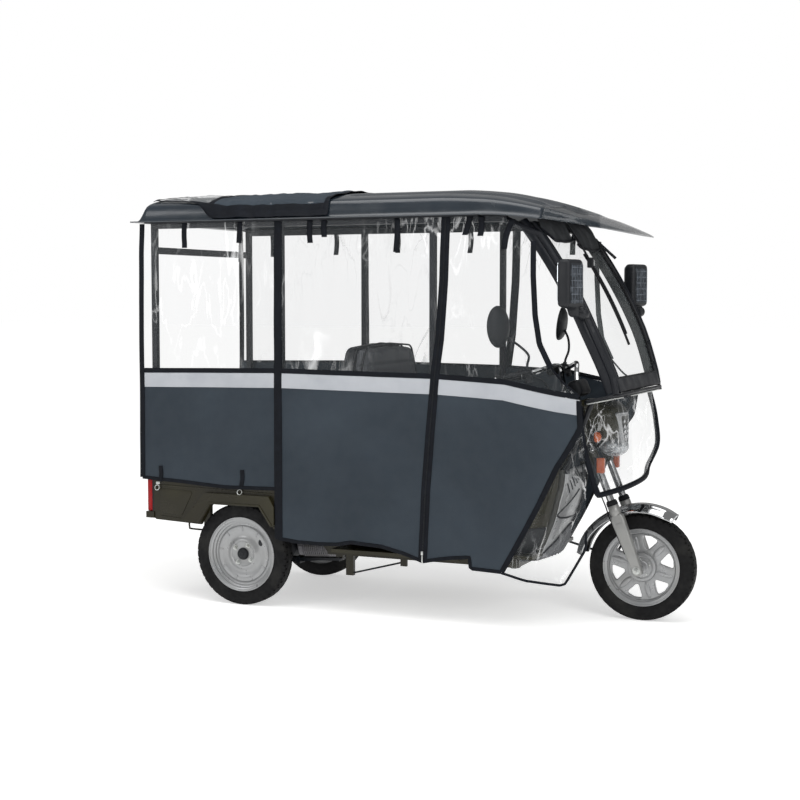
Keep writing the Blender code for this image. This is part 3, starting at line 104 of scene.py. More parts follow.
def new_finish(
    name, colour, roughness, metallic=0.0, coat=0.0, shine=0.5, alpha=1.0, worn=None, stain=None,
    relief=None,
):
    """A finish whose plain values stand on the shader's own sockets. Colours are #rrggbb codes.

    Noise varies it: worn gives its scale and the least and most roughness, stain its scale, the range
    that shows, the most that it covers and its colour, and relief its scale, height and strength.
    """
    made = bpy.data.materials.new(name)
    made.use_nodes = True
    inputs = made.node_tree.nodes["Principled BSDF"].inputs
    inputs["Base Color"].default_value = (*colour_of(colour), 1.0)
    values = {"Roughness": roughness, "Metallic": metallic, "Coat Weight": coat}
    values |= {"Specular IOR Level": shine, "Alpha": alpha}
    for socket, value in values.items():
        inputs[socket].default_value = value
    if worn:
        scale, least, most, *top = worn
        roughen(made, between(made, grain(made, scale), 0.3, *(top or [0.7]), least, most))
    if stain:
        scale, start, full, most, second = stain
        tint(made, between(made, grain(made, scale), start, full, 0.0, most), second)
    if relief:
        scale, *height = relief
        raise_by(made, grain(made, scale), *height)
    return made


def colour_of(code):
    """The light that an #rrggbb code stands for."""
    shares = (int(code[i : i + 2], 16) / 255 for i in (1, 3, 5))
    return [s / 12.92 if s <= 0.04045 else ((s + 0.055) / 1.055) ** 2.4 for s in shares]


def grain(made, scale, stretch=(1, 1, 1), detail=3.0, distortion=0.0):
    """Noise that sits still on the piece, stretched along its axes."""
    tree = made.node_tree
    place = tree.nodes.new("ShaderNodeTexCoord")
    mapping = tree.nodes.new("ShaderNodeMapping")
    mapping.inputs["Scale"].default_value = stretch
    texture = tree.nodes.new("ShaderNodeTexNoise")
    texture.inputs["Scale"].default_value = scale
    texture.inputs["Detail"].default_value = detail
    texture.inputs["Distortion"].default_value = distortion
    tree.links.new(place.outputs["Object"], mapping.inputs["Vector"])
    tree.links.new(mapping.outputs["Vector"], texture.inputs["Vector"])
    return texture.outputs["Fac"]


def between(made, value, low, high, to_low=0.0, to_high=1.0):
    """The value's stretch from low to high laid over to_low to to_high."""
    tree = made.node_tree
    ranged = tree.nodes.new("ShaderNodeMapRange")
    ranged.inputs["From Min"].default_value = low
    ranged.inputs["From Max"].default_value = high
    ranged.inputs["To Min"].default_value = to_low
    ranged.inputs["To Max"].default_value = to_high
    tree.links.new(value, ranged.inputs["Value"])
    return ranged.outputs["Result"]


def tint(made, mask, colour):
    """Mixes another colour over the base colour where the mask is high."""
    tree = made.node_tree
    base = tree.nodes["Principled BSDF"].inputs["Base Color"]
    mixer = tree.nodes.new("ShaderNodeMix")
    mixer.data_type = "RGBA"
    mixer.inputs[6].default_value = base.default_value
    mixer.inputs[7].default_value = (*colour_of(colour), 1.0)
    if base.links:
        tree.links.new(base.links[0].from_socket, mixer.inputs[6])
    tree.links.new(mask, mixer.inputs["Factor"])
    tree.links.new(mixer.outputs[2], base)


def roughen(made, mask):
    """Lets the mask set the roughness."""
    made.node_tree.links.new(mask, made.node_tree.nodes["Principled BSDF"].inputs["Roughness"])


def raise_by(made, height, distance, strength=1.0):
    """Bumps the surface by the height, which is worth distance metres where it is 1."""
    tree = made.node_tree
    bump = tree.nodes.new("ShaderNodeBump")
    bump.inputs["Distance"].default_value = distance
    bump.inputs["Strength"].default_value = strength
    normal = tree.nodes["Principled BSDF"].inputs["Normal"]
    if normal.links:
        tree.links.new(normal.links[0].from_socket, bump.inputs["Normal"])
    tree.links.new(height, bump.inputs["Height"])
    tree.links.new(bump.outputs["Normal"], normal)


def bump_waves(made, size, distance, direction="X", profile="SIN"):
    """Fine straight ridges of the given width, as of a weave or a moulding."""
    tree = made.node_tree
    place = tree.nodes.new("ShaderNodeTexCoord")
    wave = tree.nodes.new("ShaderNodeTexWave")
    wave.bands_direction = direction
    wave.wave_profile = profile
    wave.inputs["Scale"].default_value = math.tau / (20 * size)
    tree.links.new(place.outputs["Object"], wave.inputs["Vector"])
    raise_by(made, wave.outputs["Fac"], distance)


floor_finish = new_finish("floor_paper", "#f4f4f3", 0.9, stain=(1.2, 0.35, 0.7, 0.5, "#efefed"))
tree = floor_finish.node_tree
shader = tree.nodes["Principled BSDF"]
shader.inputs["Emission Color"].default_value = (1, 1, 1, 1)
place = tree.nodes.new("ShaderNodeTexCoord")
reach = tree.nodes.new("ShaderNodeVectorMath")
reach.operation = "LENGTH"
tree.links.new(place.outputs["Object"], reach.inputs[0])
# The paper glows more from 1.6 m off to 4 m off, so that it runs into the white room.
glow = between(floor_finish, reach.outputs["Value"], 1.6, 4.0, 0.50, 0.70)
tree.links.new(glow, shader.inputs["Emission Strength"])
bm = bmesh.new()
bmesh.ops.create_grid(bm, x_segments=1, y_segments=1, size=60.0)
floor_mesh = bpy.data.meshes.new("floor")
bm.to_mesh(floor_mesh)
bm.free()
floor = bpy.data.objects.new("floor", floor_mesh)
floor_mesh.materials.append(floor_finish)
scene.collection.objects.link(floor)

# ---------------------------------------------------------------- tyres
# Three light truck tyres on 12 inch wheels: a carcass with a rim ledge and plain side walls, and a
# tread of shoulder and middle blocks round a closed centre rib.
tyre_rubber = new_finish(
    "tyre_rubber", "#101011", 0.74, shine=0.18, worn=(60, 0.62, 0.85),
    stain=(9, 0.50, 0.75, 0.35, "#3a3936"), relief=(420, 0.0004),
)


def turned(profile, middle, steps, closed=True):
    """Points given as (radius, outward) turned round an axle along Y that passes through middle."""
    bm = bmesh.new()
    verts = [bm.verts.new((middle.x + r, middle.y + out, middle.z)) for r, out in profile]
    edges = [bm.edges.new(pair) for pair in zip(verts, verts[1:])]
    if closed:
        edges.append(bm.edges.new((verts[-1], verts[0])))
    bmesh.ops.spin(
        bm, geom=verts + edges, cent=middle, axis=(0, 1, 0), steps=steps, angle=math.tau,
        use_merge=True,
    )
    bmesh.ops.remove_doubles(bm, verts=bm.verts, dist=1e-5)
    bmesh.ops.recalc_face_normals(bm, faces=bm.faces)
    return bm


def mirrored(profile):
    """The profile's other half, run back from its end."""
    return [(r, -out) for r, out in reversed(profile)]


def put(name, bm, finish, body, sharp=35):
    """Makes the bmesh a piece that moves with the body, smooth but for edges over sharp degrees."""
    mesh = bpy.data.meshes.new(name)
    bm.to_mesh(mesh)
    bm.free()
    made = bpy.data.objects.new(name, mesh)
    scene.collection.objects.link(made)
    mesh.materials.append(finish)
    mesh.shade_smooth()
    mesh.set_sharp_from_angle(angle=math.radians(sharp))
    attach(made, body)
    return made


LUGS = 44
TREAD_DEPTH = 0.0055
STEPS = 4 * LUGS  # three steps of each lug are block and one is groove
RIB_HALF, INNER, INNER_END, SHOULDER = 0.0118, 0.0140, 0.0262, 0.0285  # across half the tread
for body in ("rear_wheel_right", "rear_wheel_left", "front_wheel"):
    low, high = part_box(f"{body}_tyre")
    middle = (low + high) / 2
    base = middle.z - low.z - TREAD_DEPTH
    half = [
        (0.1535, 0.0285), (0.1590, 0.0300), (0.1665, 0.0315), (0.1680, 0.0345), (0.1715, 0.0362),
        (0.1735, 0.0360), (0.1750, 0.0368), (0.1860, 0.0384), (0.1970, 0.0384), (0.2060, 0.0372),
        (base - 0.0085, 0.0362), (base - 0.0035, 0.0335), (base - 0.0012, SHOULDER),
        (base - 0.0010, INNER_END), (base - 0.0004, INNER), (base - 0.0004, RIB_HALF),
    ]
    bm = turned([*half, *mirrored(half)], middle, STEPS)
    blocks = []
    for face in bm.faces:
        reach = face.calc_center_median() - middle
        sector = int(math.atan2(reach.z, reach.x) % math.tau / math.tau * STEPS)
        out = abs(reach.y)
        if math.hypot(reach.x, reach.z) < base - 0.0075:
            continue
        shoulder = out > SHOULDER and sector % 4 != 3
        inner = INNER < out < INNER_END and (sector + 2) % 4 != 3
        if shoulder or inner or out < RIB_HALF:
            blocks.append(face)
    raised = bmesh.ops.extrude_face_region(bm, geom=blocks)["geom"]
    for vert in (item for item in raised if isinstance(item, bmesh.types.BMVert)):
        reach = vert.co - middle
        flat = Vector((reach.x, 0, reach.z))
        vert.co += flat.normalized() * TREAD_DEPTH
    tyre = put(f"{body}_tread_tyre", bm, tyre_rubber, body, sharp=28)
    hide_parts(f"{body}_tyre")

# ---------------------------------------------------------------- rear rims
# Pressed steel wheels painted silver: a rolled barrel with stepped shoulders, and a dished disc held
# by four nuts round a black hub cap. The hand hole for the valve is not cut: a black oval on the dish
# paints the shade inside it.
silver_paint = new_finish(
    "silver_paint", "#929394", 0.34, metallic=0.45, coat=0.2, worn=(35, 0.26, 0.42),
    stain=(7, 0.52, 0.78, 0.4, "#8d8c88"), relief=(900, 0.00012),
)
black_plastic = new_finish(
    "black_plastic", "#14161a", 0.45, shine=0.3, worn=(22, 0.40, 0.60),
    stain=(5, 0.5, 0.8, 0.5, "#2b2d31"), relief=(700, 0.00015),
)
chrome = new_finish(
    "chrome", "#b6b7b8", 0.20, metallic=1.0, worn=(14, 0.05, 0.20, 0.75), relief=(60, 0.0002, 0.3),
)
zinc = new_finish(
    "zinc_plate", "#b8bab8", 0.32, metallic=0.9, worn=(90, 0.24, 0.45),
    stain=(40, 0.5, 0.8, 0.6, "#8b8a80"),
)


def turned_wheel_piece(name, profile, middle, finish, body, outward, closed=True, steps=96):
    """Puts a turned profile whose places outward count from the wheel's middle to its outer side."""
    bm = turned([(r, out * outward) for r, out in profile], middle, steps, closed)
    return put(name, bm, finish, body)


def ray_at(degrees):
    """The direction in the wheel's plane, turned up from straight ahead."""
    angle = math.radians(degrees)
    return Vector((math.cos(angle), 0, math.sin(angle)))


def add_ball(bm, middle, sizes, rounds, rings, turn=0.0):
    """An ellipsoid of half sizes about middle, turned up by degrees in a wheel's plane."""
    matrix = Matrix.Translation(middle) @ Matrix.Rotation(-math.radians(turn), 4, "Y")
    matrix = matrix @ Matrix.Diagonal((*sizes, 1))
    bmesh.ops.create_uvsphere(bm, u_segments=rounds, v_segments=rings, radius=1.0, matrix=matrix)


def add_stud(bm, middle, direction, radius, length, sides=24, chamfer=0.0):
    """A round or six-sided stud on middle, standing out along direction."""
    turn = Vector((0, 0, 1)).rotation_difference(direction).to_matrix().to_4x4()
    made = bmesh.ops.create_cone(
        bm, cap_ends=True, segments=sides, radius1=radius, radius2=radius, depth=length,
        matrix=Matrix.Translation(middle + direction * length / 2) @ turn,
    )
    if chamfer:
        rim = {edge for vert in made["verts"] for edge in vert.link_edges}
        far = middle + direction * length
        ends = [e for e in rim if all(abs((v.co - far).dot(direction)) < 1e-6 for v in e.verts)]
        bmesh.ops.bevel(
            bm, geom=ends, offset=chamfer, segments=2, profile=0.5, affect="EDGES", material=-1,
        )


REAR_RIM_FACE = [
    (0.1665, 0.0325), (0.1662, 0.0345), (0.1640, 0.0352), (0.1618, 0.0345), (0.1610, 0.0318),
    (0.1590, 0.0300), (0.1540, 0.0292), (0.1512, 0.0270), (0.1500, 0.0205), (0.1440, 0.0190),
    (0.1415, 0.0165), (0.1405, 0.0085), (0.1360, 0.0060), (0.1310, 0.0062), (0.1275, 0.0085),
    (0.1240, 0.0125), (0.1130, 0.0138), (0.1020, 0.0112), (0.0880, 0.0060), (0.0770, 0.0078),
    (0.0680, 0.0150), (0.0620, 0.0178), (0.0570, 0.0178), (0.0545, 0.0152), (0.0520, 0.0140),
    (0.0240, 0.0140),
]
REAR_RIM_BACK = [
    (0.0240, 0.0095), (0.0520, 0.0095), (0.0680, 0.0095), (0.0770, 0.0030), (0.0880, 0.0010),
    (0.1020, 0.0050), (0.1130, 0.0085), (0.1240, 0.0075), (0.1300, 0.0020), (0.1380, 0.0015),
    (0.1480, 0.0010), (0.1480, -0.0270), (0.1540, -0.0300), (0.1610, -0.0320), (0.1640, -0.0352),
    (0.1665, -0.0330), (0.1660, -0.0290), (0.1600, -0.0282), (0.1524, -0.0265), (0.1524, 0.0262),
    (0.1600, 0.0282), (0.1660, 0.0290),
]
SIDES = (("right", -1), ("left", 1))
for side, outward in SIDES:
    body = f"rear_wheel_{side}"
    low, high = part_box(f"{body}_tyre")
    middle = (low + high) / 2
    rim = turned_wheel_piece(
        f"{body}_pressed_rim", REAR_RIM_FACE + REAR_RIM_BACK, middle, silver_paint, body, outward,
    )
    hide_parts(f"{body}_rim")
    bm = bmesh.new()
    out = Vector((0, outward, 0))
    for turn in range(52, 372, 40):
        # Short ribs pressed into the dish between the nuts and the barrel.
        seat = middle + ray_at(turn) * 0.113 + out * 0.0130
        add_ball(bm, seat, (0.011, 0.0035, 0.0035), 16, 8, turn)
    put(f"{body}_pressed_ribs", bm, silver_paint, body)
    nuts = bmesh.new()
    for turn in range(57, 417, 90):
        seat = middle + ray_at(turn) * 0.0465 + out * 0.0138
        add_stud(nuts, seat, out, 0.0115, 0.0030, chamfer=0.0008)
        add_stud(nuts, seat + out * 0.003, out, 0.0088, 0.0085, sides=6, chamfer=0.0012)
        add_stud(nuts, seat + out * 0.0115, out, 0.0050, 0.0045, sides=16, chamfer=0.0012)
    put(f"{body}_nuts", nuts, zinc, body)
    cap = [
        (0.0, 0.0330), (0.0100, 0.0325), (0.0120, 0.0300), (0.0185, 0.0295), (0.0225, 0.0270),
        (0.0262, 0.0205), (0.0275, 0.0142), (0.0, 0.0142),
    ]
    turned_wheel_piece(f"{body}_hub_cap", cap, middle, black_plastic, body, outward, steps=48)
    # Painted shade: a black oval disc on the dish stands in for the shaded inside of the valve's hand
    # hole.
    bm = bmesh.new()
    hole = middle + ray_at(32) * 0.1035
    add_stud(bm, hole + out * 0.0095, out, 0.0115, 0.0035, chamfer=0.0012)
    bmesh.ops.scale(bm, vec=(1.0, 1.0, 1.35), verts=bm.verts, space=Matrix.Translation(-hole))
    put(f"{body}_valve_hole_shade", bm, black_plastic, body)

# ---------------------------------------------------------------- front rim
# A cast wheel painted silver: a barrel, a web with six rounded windows and a round hub with the
# brake drum's cover.
FRONT_BARREL = [
    (0.1665, 0.0325), (0.1662, 0.0345), (0.1640, 0.0352), (0.1618, 0.0345), (0.1605, 0.0318),
    (0.1570, 0.0302), (0.1525, 0.0296), (0.1495, 0.0280), (0.1480, 0.0250), (0.1478, 0.0170),
    (0.1440, 0.0140), (0.1438, 0.0),
]
FRONT_SEAT = [(0.1524, 0.0), (0.1524, 0.0262), (0.1600, 0.0282), (0.1660, 0.0290)]
FRONT_HUB = [
    (0.0, 0.0320), (0.0120, 0.0320), (0.0135, 0.0305), (0.0150, 0.0275), (0.0250, 0.0270),
    (0.0285, 0.0240), (0.0440, 0.0235), (0.0470, 0.0255), (0.0560, 0.0255), (0.0600, 0.0235),
    (0.0620, 0.0190), (0.0625, 0.0100), (0.0625, 0.0),
]


def plate(outlines, thickness, edge=0.0, edge_steps=2):
    """A flat plate of one or more outlines, those inside others as holes, in its own XY plane."""
    curve = bpy.data.curves.new("plate", "CURVE")
    curve.dimensions = "2D"
    curve.fill_mode = "BOTH"
    curve.extrude = thickness / 2 - edge
    curve.bevel_depth = edge
    curve.bevel_resolution = edge_steps
    curve.offset = -edge
    for outline in outlines:
        spline = curve.splines.new("POLY")
        spline.points.add(len(outline) - 1)
        for point, at in zip(spline.points, outline):
            point.co = (*at, 0.0, 1.0)
        spline.use_cyclic_u = True
    return meshed(curve)


def meshed(curve):
    """The curve's surface as a bmesh with no doubled points."""
    holder = bpy.data.objects.new("holder", curve)
    scene.collection.objects.link(holder)
    graph = bpy.context.evaluated_depsgraph_get()
    mesh = bpy.data.meshes.new_from_object(holder.evaluated_get(graph))
    bpy.data.objects.remove(holder, do_unlink=True)
    bm = bmesh.new()
    bm.from_mesh(mesh)
    bpy.data.meshes.remove(mesh)
    bmesh.ops.remove_doubles(bm, verts=bm.verts, dist=1e-6)
    bmesh.ops.recalc_face_normals(bm, faces=bm.faces)
    return bm


def rounded(outline, radius, steps=4):
    """The outline with each corner replaced by an arc."""
    points = [Vector(p) for p in outline]
    made = []
    for before, corner, after in zip([points[-1], *points], points, [*points[1:], points[0]]):
        to_before, to_after = (before - corner).normalized(), (after - corner).normalized()
        shorter = min((before - corner).length, (after - corner).length)
        reach = min(radius / math.tan(to_before.angle(to_after) / 2), 0.45 * shorter)
        start, end = corner + to_before * reach, corner + to_after * reach
        for i in range(steps + 1):
            t = i / steps
            made.append(tuple((1 - t) ** 2 * start + 2 * t * (1 - t) * corner + t * t * end))
    return made


low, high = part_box("front_wheel_tyre")
hub = (low + high) / 2
barrel = [*FRONT_BARREL, *mirrored(FRONT_BARREL[:-1]), *mirrored(FRONT_SEAT[1:]), *FRONT_SEAT]
front_rim = turned_wheel_piece("front_wheel_barrel", barrel, hub, silver_paint, "front_wheel", -1)
hub_line = [*FRONT_HUB, *mirrored(FRONT_HUB[:-1])]
turned_wheel_piece("front_wheel_hub", hub_line, hub, silver_paint, "front_wheel", -1, closed=False)
turns = [i * math.tau / 96 for i in range(96)]
circles = [[(radius * math.cos(t), radius * math.sin(t)) for t in turns] for radius in (0.1450, 0.0590)]
for i in range(6):
    window = []
    for spread, reach in (
        (-16.0, 0.1350), (0.0, 0.1370), (16.0, 0.1350), (4.0, 0.0800), (-4.0, 0.0800),
    ):
        angle = math.radians(15 + 60 * i + spread)
        window.append((reach * math.cos(angle), reach * math.sin(angle)))
    circles.append(rounded(window, 0.011))
web = plate(circles, 0.024, 0.0055, 3)
ON_EDGE = Matrix.Rotation(math.pi / 2, 4, "X")  # stands a flat plate, or a part turned about Y, up
web.transform(Matrix.Translation(hub) @ ON_EDGE)
web = put("front_wheel_web", web, silver_paint, "front_wheel", sharp=50)
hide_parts("front_wheel_rim")
ribs, screws = bmesh.new(), bmesh.new()
for _, sign in SIDES:
    out = Vector((0, sign, 0))
    for turn in range(45, 405, 60):
        # A raised rib runs out along each spoke.
        add_ball(
            ribs, hub + ray_at(turn) * 0.1010 + out * 0.0115, (0.036, 0.0055, 0.0120), 20, 10, turn,
        )
    for turn in range(20, 380, 72):
        add_stud(screws, hub + ray_at(turn) * 0.0360 + out * 0.0235, out, 0.0045, 0.0030, 6, 0.0006)
put("front_wheel_spoke_ribs", ribs, silver_paint, "front_wheel")
put("front_wheel_cover_screws", screws, zinc, "front_wheel")

# ---------------------------------------------------------------- axle, motor and springs
# The rear axle is a painted casting with the motor bolted in front of it. Two packs of flat steel
# leaves carry it, held by U-bolts, and a thin rod works the drum brakes.
black_steel = new_finish(
    "black_steel", "#0e1117", 0.38, shine=0.25, worn=(18, 0.34, 0.55),
    stain=(6, 0.5, 0.8, 0.5, "#25272b"), relief=(350, 0.0002),
)
cast_metal = new_finish(
    "cast_metal", "#77767a", 0.48, metallic=0.5, worn=(30, 0.38, 0.60),
    stain=(11, 0.45, 0.8, 0.6, "#6d6b64"), relief=(500, 0.0004),
)


def finish_nodes(finish, *names):
    """Gives the finish to CAD nodes that show as they are."""
    for name in names:
        nodes[name].data.materials.clear()
        nodes[name].data.materials.append(finish)


finish_nodes(black_steel, "rear_axle", "leaf_spring_right", "leaf_spring_left", "brake_rod")
finish_nodes(cast_metal, "drive_motor", "front_axle")

BODY = "vehicle_body"
AHEAD, LEFT, UP = Vector((1, 0, 0)), Vector((0, 1, 0)), Vector((0, 0, 1))
low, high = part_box("drive_motor")
motor = (low + high) / 2
bm = bmesh.new()
for i in range(13):
    # Cooling fins round the motor's shell.
    place = Vector((low.x + 0.030 + i * 0.0105, motor.y, motor.z))
    matrix = Matrix.Translation(place) @ Matrix.Rotation(math.pi / 2, 4, "Y")
    bmesh.ops.create_cone(
        bm, cap_ends=True, segments=48, radius1=0.0755, radius2=0.0755, depth=0.003, matrix=matrix,
    )
put("motor_fins", bm, cast_metal, BODY)
bm = bmesh.new()
for turn in range(0, 360, 60):
    ray = ray_at(turn) * 0.052
    add_stud(
        bm, Vector((high.x - 0.001, motor.y + ray.x, motor.z + ray.z)), AHEAD, 0.0055, 0.005, 6, 0.0008,
    )
put("motor_screws", bm, zinc, BODY)


def tube(points, radius, sides=4, smooth=True):
    """A round bar along the points, as a bmesh with closed ends."""
    curve = bpy.data.curves.new("bar", "CURVE")
    curve.dimensions = "3D"
    curve.bevel_depth = radius
    curve.bevel_resolution = sides
    curve.use_fill_caps = True
    line = smooth_path(points) if smooth else points
    spline = curve.splines.new("POLY")
    spline.points.add(len(line) - 1)
    for point, at in zip(spline.points, line):
        point.co = (*at, 1.0)
    return meshed(curve)


def add_bm(bm, part, matrix=None):
    """Adds another bmesh's faces to bm."""
    if matrix is not None:
        part.transform(matrix)
    spare = bpy.data.meshes.new("spare")
    part.to_mesh(spare)
    part.free()
    bm.from_mesh(spare)
    bpy.data.meshes.remove(spare)


def smooth_path(points, per_span=6):
    """Points along a Catmull-Rom curve through the given ones."""
    pts = [Vector(p) for p in points]
    pts = [2 * pts[0] - pts[1], *pts, 2 * pts[-1] - pts[-2]]
    path = []
    for a, b, c, d in zip(pts, pts[1:], pts[2:], pts[3:]):
        for i in range(per_span):
            t = i / per_span
            bend = 2 * b + (c - a) * t + (2 * a - 5 * b + 4 * c - d) * t * t
            path.append(0.5 * (bend + (3 * b - a - 3 * c + d) * t**3))
    return [*path, pts[-2]]


def add_cube(bm, middle, sizes, turn=Matrix()):
    """A block of the sizes about middle."""
    matrix = Matrix.Translation(middle) @ turn @ Matrix.Diagonal((*sizes, 1))
    return bmesh.ops.create_cube(bm, size=1.0, matrix=matrix)["verts"]


SPRING_ENDS = ((along(-0.280), 0.285), (along(0.410), 0.2145))
SPRING_SEAT = rear_axle.z - 0.0286
for side, sign in SIDES:
    low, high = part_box(f"leaf_spring_{side}")
    middle_y = (low.y + high.y) / 2
    bm = bmesh.new()
    for x in (-0.032, 0.032):
        half = (
            (0.029, SPRING_SEAT - 0.046), (0.029, rear_axle.z + 0.022), (0.018, rear_axle.z + 0.034),
        )
        legs = [(along(x), middle_y - y, z) for y, z in half]
        legs += [(along(x), middle_y + y, z) for y, z in reversed(half)]
        add_bm(bm, tube(legs, 0.0045))
        for y in (middle_y - 0.029, middle_y + 0.029):
            add_stud(bm, Vector((along(x), y, SPRING_SEAT - 0.034)), -UP, 0.008, 0.007, sides=6)
    put(f"spring_u_bolts_{side}", bm, zinc, BODY)
    bm = bmesh.new()
    for end_x, end_z in SPRING_ENDS:
        add_stud(bm, Vector((end_x, middle_y - 0.027, end_z - 0.006)), LEFT, 0.0085, 0.054, 6, 0.001)
        # Clips round the leaves, half way out to each eye.
        clip_z = SPRING_SEAT + (end_z - SPRING_SEAT) * 0.25 - 0.011
        add_cube(
            bm, Vector((along(0) + (end_x - along(0)) * 0.5, middle_y, clip_z)), (0.018, 0.050, 0.031),
        )
    put(f"spring_clips_{side}", bm, black_steel, BODY)

# ---------------------------------------------------------------- chassis and floors
# Welded steel tube and sheet under one coat of dark olive gloss, with patches of road dust. The frame
# carries the floors and the battery box, and a ribbed rubber mat lies on the cabin's floor.
olive_paint = new_finish(
    "olive_paint", "#201d10", 0.30, shine=0.26, worn=(12, 0.24, 0.40),
    stain=(3, 0.45, 0.8, 0.5, "#3e3b27"), relief=(160, 0.00025),
)
rubber_mat = new_finish(
    "rubber_mat", "#18191b", 0.75, shine=0.2, stain=(8, 0.5, 0.8, 0.6, "#333437"), relief=(300, 0.0004),
)
finish_nodes(olive_paint, "chassis_frame", "cabin_floor", "cargo_bed", "battery_box", "tailgate")
finish_nodes(olive_paint, "cargo_side_right", "cargo_side_left")


def box_between(bm, low, high, bevel=0.0):
    """A block between two opposite corners, its edges rounded by the bevel."""
    low, high = Vector(low), Vector(high)
    verts = add_cube(bm, (low + high) / 2, high - low)
    if bevel:
        edges = list({edge for vert in verts for edge in vert.link_edges})
        bmesh.ops.bevel(
            bm, geom=edges, offset=bevel, segments=3, profile=0.5, affect="EDGES", material=-1,
        )


low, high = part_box("cabin_floor")
floor_top = high.z
bm = bmesh.new()
box_between(
    bm, (along(0.865), -0.405, floor_top + 0.0003), (along(1.045), 0.405, floor_top + 0.0055), 0.0015,
)
for i in range(24):
    # Ribs across the foot mat.
    y = -0.385 + i * 0.0335
    box_between(
        bm, (along(0.875), y - 0.004, floor_top + 0.005), (along(1.035), y + 0.004, floor_top + 0.0075),
        0.001,
    )
put("foot_mat", bm, rubber_mat, BODY)

# A hatch with a vent on the battery box, and its screws.
low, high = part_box("battery_box")
bm = bmesh.new()
box_between(bm, (high.x, -0.20, low.z + 0.05), (high.x + 0.003, 0.20, high.z - 0.05), 0.001)
for i in range(7):
    z = low.z + 0.12 + i * 0.018
    box_between(bm, (high.x + 0.003, -0.08, z), (high.x + 0.0055, 0.08, z + 0.007), 0.001)
put("battery_box_hatch", bm, olive_paint, BODY)
bm = bmesh.new()
for y in (-0.185, 0.185):
    for z in (low.z + 0.065, high.z - 0.065):
        add_stud(bm, Vector((high.x + 0.003, y, z)), AHEAD, 0.006, 0.0035, 6, 0.0008)
put("battery_box_screws", bm, zinc, BODY)

# ---------------------------------------------------------------- cargo box
# Folded steel sides painted like the frame: a turned top rail over a pressed panel, an arch with a
# standing flare over the wheel, and a drop gate between the corner posts at the rear.
side_face = 0.445
GATE = "tailgate_body"


def side_strip(bm, line, width, thickness, sign, face=side_face):
    """A raised band of the width along (x, z) points on the box's side."""
    strip = [Vector(p) for p in line]
    normals = []
    for before, after in zip([strip[0], *strip], [*strip[1:], strip[-1]]):
        run = (after - before).normalized()
        normals.append(Vector((-run.y, run.x)))
    outline = [p + n * width / 2 for p, n in zip(strip, normals)]
    outline += [p - n * width / 2 for p, n in reversed(list(zip(strip, normals)))]
    seat = Matrix.Translation((0, sign * (face + thickness / 2), 0))
    add_bm(bm, plate([outline], thickness, min(0.0012, thickness / 3)), seat @ ON_EDGE)


for side, sign in SIDES:
    bm = bmesh.new()
    # The folded rail along the side's top.
    side_strip(bm, [(along(-0.436), 0.5235), (along(0.20), 0.5105)], 0.006, 0.0045, sign)
    side_strip(bm, [(along(-0.436), 0.548), (along(0.20), 0.538)], 0.003, 0.0025, sign)
    # The pressed panel behind the arch.
    pressed = rounded(
        [
            (along(-0.402), 0.508), (along(-0.232), 0.503), (along(-0.290), 0.390),
            (along(-0.405), 0.398),
        ],
        0.012,
    )
    seat = Matrix.Translation((0, sign * (side_face + 0.0008), 0))
    add_bm(bm, plate([pressed], 0.0035, 0.0016, 3), seat @ ON_EDGE)
    side_strip(bm, [(along(-0.400), 0.382), (along(-0.300), 0.376)], 0.004, 0.003, sign)
    put(f"box_side_pressings_{side}", bm, olive_paint, BODY)
    bm = bmesh.new()
    # The flare's rolled edge.
    side_strip(
        bm,
        [(along(-0.196), 0.366), (along(-0.134), 0.458), (along(0.116), 0.458), (along(0.176), 0.372)],
        0.010, 0.004, sign, side_face + 0.0195,
    )
    put(f"arch_rolled_edge_{side}", bm, olive_paint, BODY)
    bm = bmesh.new()
    for x in (-0.416, 0.012):
        # A ring in a small saddle takes the curtain's strap.
        seat = Vector((along(x), sign * side_face, 0.5300))
        near, far = sorted((sign * side_face, sign * (side_face + 0.003)))
        box_between(
            bm, (seat.x - 0.010, near, seat.z - 0.004), (seat.x + 0.010, far, seat.z + 0.008), 0.001,
        )
        ring = []
        for t in (i * math.tau / 24 for i in range(25)):
            out = sign * (0.0055 + 0.003 * (1 - math.cos(t)))
            ring.append(seat + Vector((0.0115 * math.sin(t), out, -0.018 + 0.0115 * math.cos(t))))
        add_bm(bm, tube(ring, 0.0021, smooth=False))
    put(f"strap_rings_{side}", bm, zinc, BODY)
    # A stay for the mudguard's lower corner: a bracket and a bent rod to the frame.
    stay = [
        (along(-0.262), sign * 0.430, 0.372), (along(-0.262), sign * 0.428, 0.338),
        (along(-0.252), sign * 0.420, 0.328), (along(-0.190), sign * 0.340, 0.316),
        (along(-0.150), sign * 0.262, 0.330),
    ]
    put(f"mudguard_stay_{side}", tube(stay, 0.004), olive_paint, BODY)

# ---------------------------------------------------------------- tail lamps
# A tall red lens with reflector ribs stands on a black moulded base, which is screwed to each rear
# corner of the box.
red_lens = new_finish("red_lens", "#8a0509", 0.30, shine=0.2, stain=(12, 0.45, 0.8, 0.5, "#7c0a12"))
bump_waves(red_lens, 0.006, 0.0008, "Z")
for side, sign in SIDES:
    low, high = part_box(f"tail_lamp_{side}")
    bm = bmesh.new()
    box_between(bm, low + Vector((0, 0.0005, 0.001)), high - Vector((0.006, 0.0005, 0.001)), 0.007)
    lens = put(f"tail_lamp_lens_{side}", bm, red_lens, BODY)
    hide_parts(f"tail_lamp_{side}")
    bm = bmesh.new()
    box_between(bm, (high.x - 0.0065, low.y, low.z), (high.x, high.y, high.z), 0.001)
    put(f"tail_lamp_base_{side}", bm, black_plastic, BODY)

